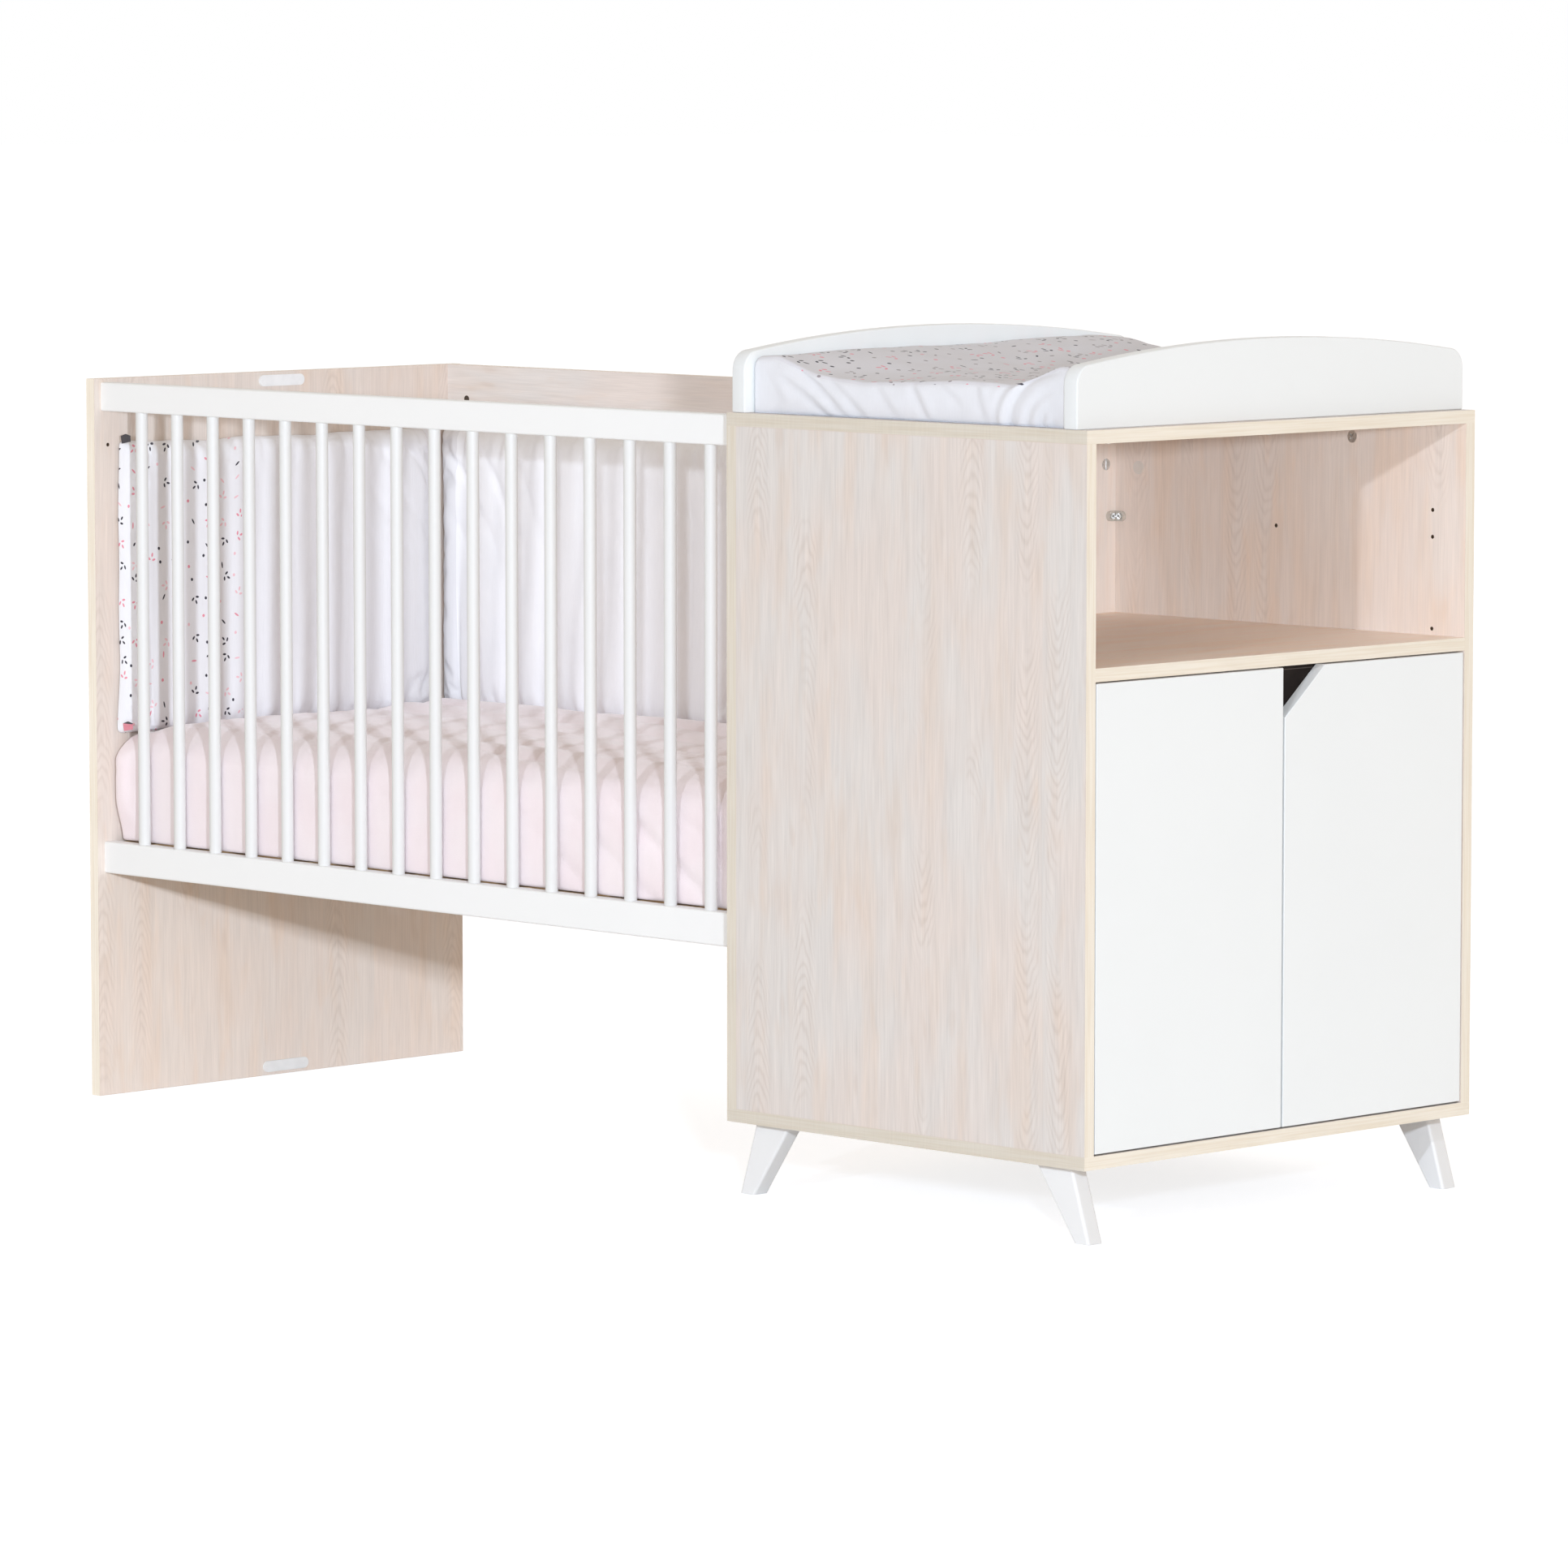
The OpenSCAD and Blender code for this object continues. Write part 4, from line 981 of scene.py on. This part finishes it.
def bumper(name, node, along, out, seed):
    """One segment. along is the axis it runs on, and out is the way its cushioned side faces."""
    low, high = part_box(node)
    deep = 1 - along
    length, bottom, top = high[along] - low[along], low[2] - BUMPER_SINK, high[2]
    panel = low[deep] if out > 0 else high[deep]
    u, z = np.meshgrid(edge_dense(round(length / BUMPER_STEP)) * length,
                       edge_dense(round((top - bottom) / BUMPER_STEP)) * (top - bottom), indexing="ij")
    from_side = np.minimum(u, length - u)
    from_flat = np.minimum(z, top - bottom - z)
    crossing = quarter(from_side, 0.026) * quarter(from_flat, 0.022)
    over = rumples(np.stack([u, np.zeros_like(u), z], axis=-1), seed)

    # Folds that hang from the sewn top edge, deepest at half height, and small puckers at the seams
    height = z / (top - bottom)
    drift = 0.030 * over((1.5, 1, 2.4), 0.0) + 0.007 * over((5.0, 1, 5.0), 2.0)
    hang = (u + drift) / 0.056 + 0.30 * over((3.0, 1, 1.2), 4.0)
    folds = 0.0042 * np.sin(hang * math.tau) * (0.55 + 0.75 * over((5.0, 1, 2.0), 9.0))
    valley = ridges(hang * 1.37, 0.11)
    folds -= 0.0042 * valley * rise(-0.1, 0.4, over((7.0, 1, 3.0), 12.0))
    folds += 0.0034 * over((14.0, 1, 4.0), 15.0) + 0.0034 * over((4.5, 1, 3.5), 19.0)
    puckers = np.sin((u + drift * 0.6) * math.tau / 0.024 + 2 * over((9, 1, 1), 23.0))
    puckers *= 0.0026 * rise(0.84, 0.98, height) + 0.0014 * (1 - rise(0.02, 0.14, height))
    slants = ((u + drift) * 0.80 + z * 0.60) / 0.044 + 0.4 * over((4, 1, 4), 27.0)
    slants = -ridges(slants, 0.13) * 0.0046 * rise(0.45, 0.8, height)
    slants *= rise(-0.05, 0.35, over((5, 1, 3), 31.0))
    depth = BUMPER_EDGE + (BUMPER_FULL - BUMPER_EDGE) * crossing + crossing * (folds + puckers + slants)
    depth = np.maximum(depth, 0.0020 + 0.006 * crossing)
    if along == 1:
        depth -= 0.0022 * crossing * bell((u + low[1] - PRINT_END) / 0.0030)

    # The corners are rounded, and the top edge waves and is drawn down between them
    a = np.clip(1 - from_side / BUMPER_CORNER, 0, 1)
    b = np.clip(1 - from_flat / BUMPER_CORNER, 0, 1)
    inward_u = BUMPER_CORNER * a * (1 - np.sqrt(1 - b * b / 2)) * np.where(u < length / 2, 1, -1)
    inward_z = BUMPER_CORNER * b * (1 - np.sqrt(1 - a * a / 2)) * np.where(height < 0.5, 1, -1)
    wave = 0.0050 * over((16.0, 1, 0.1), 35.0) - 0.0030 * quarter(from_side, 0.15)
    wave = rise(0.86, 1.0, height) * wave
    hem = (1 - rise(0.0, 0.06, from_side)) * np.where(u < length / 2, 1, -1)
    sway = hem * (0.0035 * (over((0.1, 1, 9.0), 37.0) + 0.4) - 0.0055 * (1 - rise(0.0, 0.30, height)))
    outer = np.zeros((*u.shape, 3))
    outer[..., along] = low[along] + u + inward_u + (sway if along == 1 else 0)
    outer[..., 2] = bottom + z + inward_z + wave
    outer[..., deep] = panel + out * depth
    inner = outer.copy()
    inner[..., deep] = panel + out * 0.0016 * (1 - quarter(np.minimum(from_side, from_flat), 0.015))
    mesh = sewn(name, outer, inner)
    held = np.concatenate([(1 - crossing).ravel() * 0.7, np.ones(u.size)])
    swell(mesh, held, 2.5, 0.030, 0.8, 0.005)
    points = points_of(mesh)
    points[:, deep] = np.clip(points[:, deep], low[deep], high[deep])
    spare = 0.006 if along == 1 else 0
    points[:, along] = np.clip(points[:, along], low[along] - spare, high[along])
    set_points(mesh, points)
    soft_piece(name, refined(mesh), node, bumper_cotton)


bumper("bumper_segment_end", "bumper_end", 1, 1, 5.0)
bumper("bumper_segment_left", "bumper_back_left", 0, -1, 41.0)
bumper("bumper_segment_right", "bumper_back_right", 0, -1, 83.0)


def ribbon():
    spot = place()
    rib = (spot[2] * (math.tau / 0.0016)).math("SINE")
    tone = mottle(spot, 300.0)
    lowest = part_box("tie_tabs")[0][2]
    tip = (spot[2] < lowest + 0.010) * (spot[0] < -0.8) * (spot[1] < -0.290)
    colour = mix(tone, (0.050, 0.048, 0.055), (0.085, 0.080, 0.090))
    return {
        "Base Color": mix(tip, colour, ROSE),
        "Roughness": 0.62 + tone * 0.15,
        "Normal": bump(rib + tone, 0.0003, 0.6),
    }


dress(["tie_tabs"], material("grey_ribbon", ribbon))


# ---- Changing pad ----
# A foam mat in a cotton cover lies between the arched boards. Its long sides are raised bolsters. The
# cover is printed grey on top and plain white on the sides, and a seam joins the two.

PAD_GREY = (0.730, 0.735, 0.780)
PAD_WHITE = (0.745, 0.765, 0.805)
PAD_STEP = 0.0060
PAD_MIDDLE = 0.047
PAD_BOLSTER = 0.024
PAD_FAR_RISE = 0.008
PAD_ROUND = 0.009
PAD_CORNER = 0.004
PAD_INSET = 0.0035
PAD_SEAM = 10
# The near edge is uneven: places along it, from its left end, and its height there
PAD_EDGE = (
    (0.0, 0.068), (0.036, 0.070), (0.064, 0.062), (0.095, 0.052), (0.133, 0.046), (0.179, 0.043),
    (0.256, 0.046), (0.333, 0.050), (0.400, 0.049), (0.428, 0.047), (0.467, 0.058), (0.505, 0.072),
    (0.528, 0.071),
)
pad_low, pad_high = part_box("changing_pad")


def pad_print(spot, tone):
    grey = mix(tone.ease(0.3, 0.7), PAD_GREY, (0.710, 0.718, 0.762))
    return seeds(spot[0] + 0.4, spot[1] + spot[2] * 0.8, 0.0275, 0.0036, grey, (0.34, 0.31, 0.33))


def pad_plain(spot, tone):
    return mix(tone, PAD_WHITE, (0.770, 0.785, 0.825))


def wrapped(size):
    """The cover's way up one side, over the top and down the other.

    Gives each point's place from 0 to size, its share of the side's height, its share of the rounded
    edge above the side, and how much it faces sideways."""
    arc = np.radians(np.linspace(0, 90, 6))
    near = [
        np.concatenate([[0.0030, 0.0008, 0, 0, 0, 0, 0, 0], PAD_ROUND * (1 - np.cos(arc))]),
        np.concatenate([[0, 0.04, 0.10, 0.24, 0.40, 0.56, 0.72, 0.87], np.ones(6)]),
        np.concatenate([np.zeros(8), np.sin(arc)]),
        np.concatenate([np.ones(8), np.cos(arc)]),
    ]
    middle = np.linspace(PAD_ROUND, size - PAD_ROUND, round((size - 2 * PAD_ROUND) / PAD_STEP) + 1)[1:-1]
    between = [middle, np.ones(len(middle)), np.ones(len(middle)), np.zeros(len(middle))]
    far = [size - near[0][::-1]] + [share[::-1] for share in near[1:]]
    return [np.concatenate(stretches) for stretches in zip(near, between, far)]


width, length = pad_high[0] - pad_low[0], pad_high[1] - pad_low[1]
across, side_u, edge_u, _ = wrapped(width)
along, side_v, edge_v, sideways_v = wrapped(length)
u, v = np.meshgrid(across, along, indexing="ij")
over_pad = rumples(np.stack([u, v, np.zeros_like(u)], axis=-1))
back_roll = 1 - rise(0.022, 0.200, u)
front_roll = 1 - rise(0.022, 0.110, width - u)
far_rise = PAD_FAR_RISE * (v / length) ** 1.8
slope = rise(0.02, 0.10, u) * (1 - rise(0.20, 0.34, u))
diagonal = (u * 0.70 + v * 0.52) / 0.062 + 0.9 * over_pad((3.0, 3.0, 1), 61.0)
fold = np.abs(np.sin(diagonal * math.pi)) ** 0.7 - 0.6
dents = 0.0040 * fold * slope * (0.4 + 0.9 * over_pad((5.0, 4.0, 1), 66.0))
dents += 0.0030 * over_pad((9.0, 7.0, 1), 71.0) + 0.0020 * over_pad((24.0, 18.0, 1), 75.0)
height = PAD_MIDDLE + np.maximum((PAD_BOLSTER + far_rise) * back_roll, PAD_BOLSTER * front_roll) + dents
near = 1 - rise(0.015, 0.150, v)
height += near * (np.interp(u, *zip(*PAD_EDGE)) + 0.3 * dents - height)
height -= 0.005 * (1 - rise(0.0, 0.06, length - v))
rise_u = side_u[:, None] * (height - PAD_ROUND) + edge_u[:, None] * PAD_ROUND
rise_v = side_v[None, :] * (height - PAD_ROUND) + edge_v[None, :] * PAD_ROUND
z = rise_u * rise_v / height

# Seen from above, the corners are rounded
a = np.clip(1 - np.minimum(u, width - u) / PAD_CORNER, 0, 1)
b = np.clip(1 - np.minimum(v, length - v) / PAD_CORNER, 0, 1)
outer = np.zeros((*u.shape, 3))
way_u, way_v = np.where(u < width / 2, 1, -1), np.where(v < length / 2, 1, -1)
outer[..., 0] = pad_low[0] + u + PAD_CORNER * a * (1 - np.sqrt(1 - b * b / 2)) * way_u
outer[..., 1] = pad_low[1] + v + PAD_CORNER * b * (1 - np.sqrt(1 - a * a / 2)) * way_v
outer[..., 2] = pad_low[2] + z


def crease(one, other, depth, wide, bow=0.0):
    """A fold of an end face from one (u, z) to another: a narrow valley beside a soft ridge."""
    run_u, run_z = other[0] - one[0], other[1] - one[1]
    long = math.hypot(run_u, run_z)
    t = ((u - one[0]) * run_u + (z - one[1]) * run_z) / long ** 2
    off = ((z - one[1]) * run_u - (u - one[0]) * run_z) / long - bow * 4 * t * (1 - t)
    ends = rise(-0.2, 0.2, t) * (1 - rise(0.8, 1.2, t))
    return depth * ends * (0.8 * bell((off - 1.9 * wide) / (1.5 * wide)) - bell(off / wide))


# Folds run down from the left bolster, and at the right they turn round the corner in a fan
PAD_FOLDS = (
    ((0.040, 0.046), (0.122, 0.000), 0.0050, 0.0042, 0.003),
    ((0.066, 0.056), (0.150, 0.004), 0.0046, 0.0040, 0.004),
    ((0.012, 0.060), (0.052, 0.012), 0.0020, 0.0040),
    ((0.118, 0.046), (0.185, 0.002), 0.0026, 0.0046, 0.003),
    ((0.205, 0.040), (0.240, 0.004), 0.0018, 0.0050),
    ((0.262, 0.044), (0.292, 0.002), 0.0034, 0.0050, 0.002),
    ((0.300, 0.050), (0.350, 0.020), 0.0022, 0.0044),
    ((0.372, 0.046), (0.384, 0.008), 0.0020, 0.0050),
)
push = sum(crease(*fold) for fold in PAD_FOLDS)
round_corner = np.sqrt(((0.520 - u) / 0.092) ** 2 + (z / 0.062) ** 2)
for turn, depth in ((1.26, 0.0020), (1.06, 0.0052), (0.76, 0.0030), (0.50, 0.0036), (0.28, 0.0024)):
    off = round_corner - turn - 0.10 * over_pad((9.0, 1.0, 1), 81.0 + turn)
    ridge = 0.8 * bell((off - 0.11) / 0.09) - bell(off / 0.055)
    push += depth * ridge * rise(0.37, 0.41, u)
push *= v < length / 2
over_sides = rumples(outer)
push += 0.0034 * over_sides((9.0, 1.0, 12.0), 89.0) + 0.0016 * over_sides((34.0, 1.0, 26.0), 93.0)
push += 0.0030 * np.sin(np.clip(z / height, 0, 1) * math.pi)
from_side = rise(0.0, 0.04, np.minimum(u, width - u))
outer[..., 1] += way_v * sideways_v[None, :] * (PAD_INSET - push) * from_side
outer[:, PAD_SEAM, 2] -= 0.0007
inner = outer.copy()
inner[..., 2] = pad_low[2]
pad_mesh = sewn("changing_mat", outer, inner)
held = np.concatenate([(1 - rise(0.15, 0.6, z / height)).ravel(), np.ones(u.size)])
swell(pad_mesh, held, 2.5, 0.025, 1.2, 0.003)
points = points_of(pad_mesh)
pad_room = np.array([0, 0.002, 0.003])
lowest, highest = np.array(pad_low) - pad_room * (1, 1, 0), np.array(pad_high) + pad_room
set_points(pad_mesh, np.clip(points, lowest, highest))

# Up to the seam each side is plain
plain = np.ones(len(pad_mesh.polygons), dtype=np.int32)
printed = np.ones((u.shape[0] - 1, u.shape[1] - 1), dtype=bool)
printed[:PAD_SEAM] = printed[-PAD_SEAM:] = printed[:, :PAD_SEAM] = printed[:, -PAD_SEAM:] = False
plain[:printed.size][printed.ravel()] = 0
pad_mesh.polygons.foreach_set("material_index", plain)
printed_cotton = material("pad_cotton", cotton, pad_print)
mat = soft_piece("changing_mat", refined(pad_mesh), "changing_pad", printed_cotton)
mat.data.materials.append(material("pad_cotton_plain", cotton, pad_plain))


# ---- Studio ----
# A white sweep under a warm even surround, two small cool lamps at the front, a warm level lamp at the
# right and a faint wide one above. The camera stands a little above the dresser's top, well away.

floor_material = bpy.data.materials.new("studio_floor")
floor_material.use_nodes = True
Shade.tree = floor_material.node_tree
Shade.tree.nodes.clear()
seen_white = mix(mottle(place(), 3.0, 1.0) * 0.2, (0.565, 0.600, 0.650), (0.555, 0.590, 0.640))
matt = Shade.node("BsdfDiffuse", inputs={"Color": seen_white})
glow = Shade.node("Emission", inputs={"Color": (1, 1, 1, 1), "Strength": 0.74})
bright = Shade.node("AddShader", inputs={0: matt, 1: glow})
plain = Shade.node("BsdfDiffuse", inputs={"Color": (0.95, 0.95, 0.95, 1)})
seen = Shade.node("LightPath").out("Is Camera Ray")
both = Shade.node("MixShader", inputs={0: seen, 1: plain, 2: bright})
Shade.tree.links.new(both.socket, Shade.tree.nodes.new("ShaderNodeOutputMaterial").inputs["Surface"])

FLOOR_REACH = 60.0
FLOOR_DROP = 0.0005
floor_mesh = bpy.data.meshes.new("studio_floor")
corners = [(x * FLOOR_REACH, y * FLOOR_REACH, -FLOOR_DROP)
           for x, y in ((-1, -1), (1, -1), (1, 1), (-1, 1))]
floor_mesh.from_pydata(corners, [], [(0, 1, 2, 3)])
floor_mesh.materials.append(floor_material)
put("studio_floor", floor_mesh)

world = bpy.data.worlds.new("surround")
world.use_nodes = True
bpy.context.scene.world = world
Shade.tree = world.node_tree
path = Shade.node("LightPath")
seen = path.math("MAXIMUM", path.out("Is Glossy Ray")).math("MAXIMUM", path.out("Is Transmission Ray"))
background = world.node_tree.nodes["Background"]
surround = mix(seen, (1.0, 0.895, 0.80), (1.0, 1.0, 1.0))
world.node_tree.links.new(surround.socket, background.inputs["Color"])
world.node_tree.links.new((0.62 + seen * 0.38).socket, background.inputs["Strength"])


def lamp(name, spot, target, power, size, colour=(0.90, 1.00, 1.14)):
    """A round lamp whose light stays even over the part's whole length, as from far away."""
    light = bpy.data.lights.new(name, "AREA")
    light.energy = power
    light.color = colour
    light.size = size
    light.shape = "DISK"
    light.use_nodes = True
    Shade.tree = light.node_tree
    ray = Vector(target) - Vector(spot)
    even = Shade.node("LightFalloff", inputs={"Strength": 1 / ray.length ** 2}).out("Constant")
    Shade.tree.links.new(even.socket, Shade.tree.nodes["Emission"].inputs["Strength"])
    holder = put(name, light)
    holder.location = spot
    holder.rotation_euler = ray.to_track_quat("-Z", "Y").to_euler()


lamp("key", (1.98, -4.40, 1.475), (0.0, 0.0, 0.55), 46, 0.07)
lamp("front", (3.78, -3.19, 1.21), (0.1, 0.0, 0.5), 100, 0.20)
lamp("side", (9.0, -2.2, 1.0), (0.6, 0.0, 0.6), 36, 1.6, (1.10, 0.93, 0.76))
lamp("top", (0.0, -0.5, 4.5), (0.0, 0.0, 0.0), 5, 3.0)

lens = bpy.data.cameras.new("camera")
lens.lens = 182.19
lens.sensor_width = 36
lens.clip_end = 100
camera = put("camera", lens)
camera.location = (7.22115, -7.06522, 1.44243)
looks_down, turned = 0.09705, 0.79166
camera.rotation_euler = (math.pi / 2 - looks_down, 0, turned)
bpy.context.scene.camera = camera
bpy.context.scene.view_settings.view_transform = "Standard"

bpy.context.view_layer.update()
